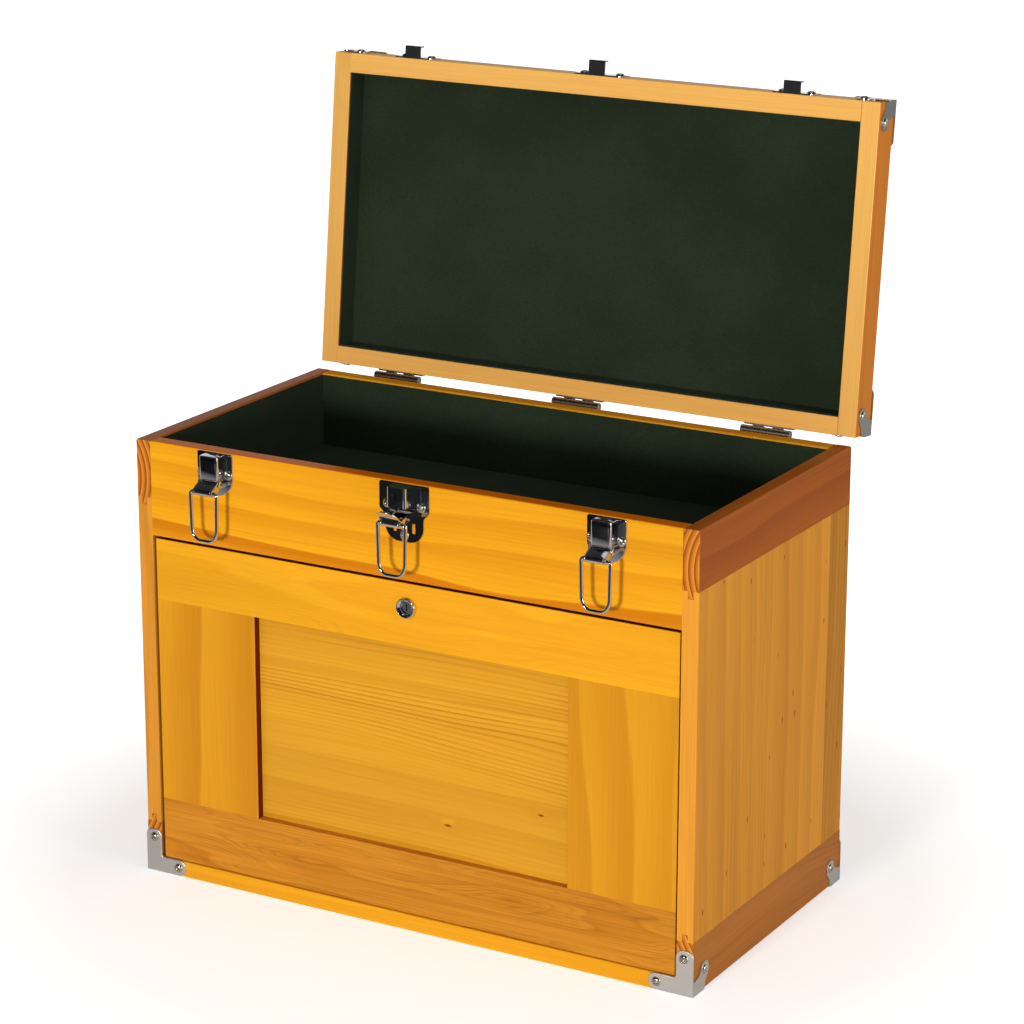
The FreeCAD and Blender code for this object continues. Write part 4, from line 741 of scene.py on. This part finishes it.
def make_latches(chrome):
    """The bails and levers of all three latches, and the plates of the outer two."""
    joints = {joint["name"]: np.array(joint["pos_m"]) / MM for joint in frame["joints"]
              if joint["type"] == "hinge"}
    for side in SIDES:
        pivot, eye = joints[f"{side}_lever_turn"], joints[f"{side}_bail_turn"]
        bail, plate = (np.array(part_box(f"{side}_latch_{part}")) / MM
                       for part in ("bail", "plate"))
        made = [("wire_bail", wire_bail(*bail), f"{side}_bail", "bail"),
                ("folded_lever", folded_lever(pivot, eye, side == "centre"),
                 f"{side}_lever", "lever")]
        if side != "centre":
            made.append(("shield_plate", shield_plate(*plate, pivot), "case", "plate"))
        for name, parts, body, part in made:
            mesh_piece(f"{side}_{name}", parts, chrome, body, f"{side}_latch_{part}")


# ---- floor, light and camera --------------------------------------------------------------

CAMERA_PLACE = (1.13399, -1.94855, 0.94710)
CAMERA_TURN = (73.341, -0.076, 29.876)
LENS, SENSOR = 118.44, 36.0
FLOOR_REACH = 14.0
# metres from the origin between which the floor fades to white
FADE = (0.3, 0.62)
# the y, in metres, between which the floor goes dim in the metal
DIM = (-0.35, -0.8)
LAMPS_AIM = (0, 0, 0.28)
# (name, place in metres, side in metres, watts): the small key lamp throws the crisp
# shadows of the bails, the other two fill the side and the inside
LAMPS = [("key_lamp", (0.12, -2.7, 0.6), 0.26, 41), ("side_lamp", (2.6, -0.3, 0.7), 1.2, 19),
         ("top_lamp", (0.0, 0.2, 2.6), 1.4, 4)]


def make_floor():
    """A pale floor that fades to white, and keeps the soft shadow under the chest.

    In the metal it goes dim some way in front, as a studio does behind the camera.
    """
    def sockets(tree):
        place = add(tree, "TexCoord", out="Object")
        front = add(tree, "MapRange", add(tree, "SeparateXYZ", place, out="Y"), *DIM)
        dim = add(tree, "Math", front, add(tree, "LightPath", out="Is Glossy Ray"),
                  operation="MULTIPLY")
        colour = add(tree, "Mix", dim, linear("#F2F2F0"), linear("#0E1013"), **COLOURS)
        away = add(tree, "VectorMath", place, operation="LENGTH", out="Value")
        glow = add(tree, "MapRange", away, *FADE, 0.5, 1.0)
        glow = add(tree, "Math", glow, add(tree, "LightPath", out="Is Camera Ray"),
                   operation="MULTIPLY")
        return {"Base_Color": colour, "Roughness": 0.8, "Specular_IOR_Level": 0.1,
                "Emission_Color": linear("#FFFFFF"), "Emission_Strength": glow}

    reach = FLOOR_REACH
    mesh = bpy.data.meshes.new("floor")
    mesh.from_pydata([(-reach, -reach, 0), (reach, -reach, 0), (reach, reach, 0),
                      (-reach, reach, 0)], [], [(0, 1, 2, 3)])
    mesh.materials.append(finished("pale_floor", sockets))
    floor = bpy.data.objects.new("floor", mesh)
    bpy.context.scene.collection.objects.link(floor)


def make_world():
    """A pale surround, dimmer overhead; metal sees it bright low behind and dim elsewhere."""
    world = bpy.data.worlds.new("studio")
    bpy.context.scene.world = world
    world.use_nodes = True
    tree = world.node_tree
    tree.nodes.clear()
    way = add(tree, "TexCoord", out="Generated")
    back = add(tree, "MapRange", add(tree, "SeparateXYZ", way, out="Y"), -0.5, 0.3, 0.03, 1.0)
    steep = add(tree, "Math", add(tree, "SeparateXYZ", way, out="Z"), operation="ABSOLUTE")
    low = add(tree, "MapRange", steep, 0.2, 0.6, 1.0, 0.04)
    in_metal = add(tree, "Math", back, low, operation="MULTIPLY")
    on_faces = add(tree, "MapRange", steep, 0.0, 0.9, 0.64, 0.12)
    light = add(tree, "Mix", add(tree, "LightPath", out="Is Glossy Ray"), on_faces, in_metal,
                **COLOURS)
    light = add(tree, "Mix", add(tree, "LightPath", out="Is Camera Ray"), light,
                linear("#FFFFFF"), **COLOURS)
    add(tree, "OutputWorld", add(tree, "Background", light, 1.0))


def make_lights():
    """Square soft lamps, all aimed at one point in the chest."""
    for name, place, size, power in LAMPS:
        light = bpy.data.lights.new(name, "AREA")
        light.size = size
        light.energy = power
        lamp = bpy.data.objects.new(name, light)
        lamp.location = place
        way = Vector(LAMPS_AIM) - Vector(place)
        lamp.rotation_euler = way.to_track_quat("-Z", "Y").to_euler()
        bpy.context.scene.collection.objects.link(lamp)


def make_camera():
    """The camera, in front of the chest, to its right and above it."""
    data = bpy.data.cameras.new("camera")
    data.lens = LENS
    data.sensor_width = SENSOR
    camera = bpy.data.objects.new("camera", data)
    camera.location = CAMERA_PLACE
    camera.rotation_euler = [math.radians(angle) for angle in CAMERA_TURN]
    bpy.context.scene.collection.objects.link(camera)
    bpy.context.scene.camera = camera


bpy.context.scene.view_settings.view_transform = "Standard"
finish_case()
finish_panel()
finish_lid()
finish_drawers()
make_latches(finish_hardware())
make_screws()
make_floor()
make_world()
make_lights()
make_camera()
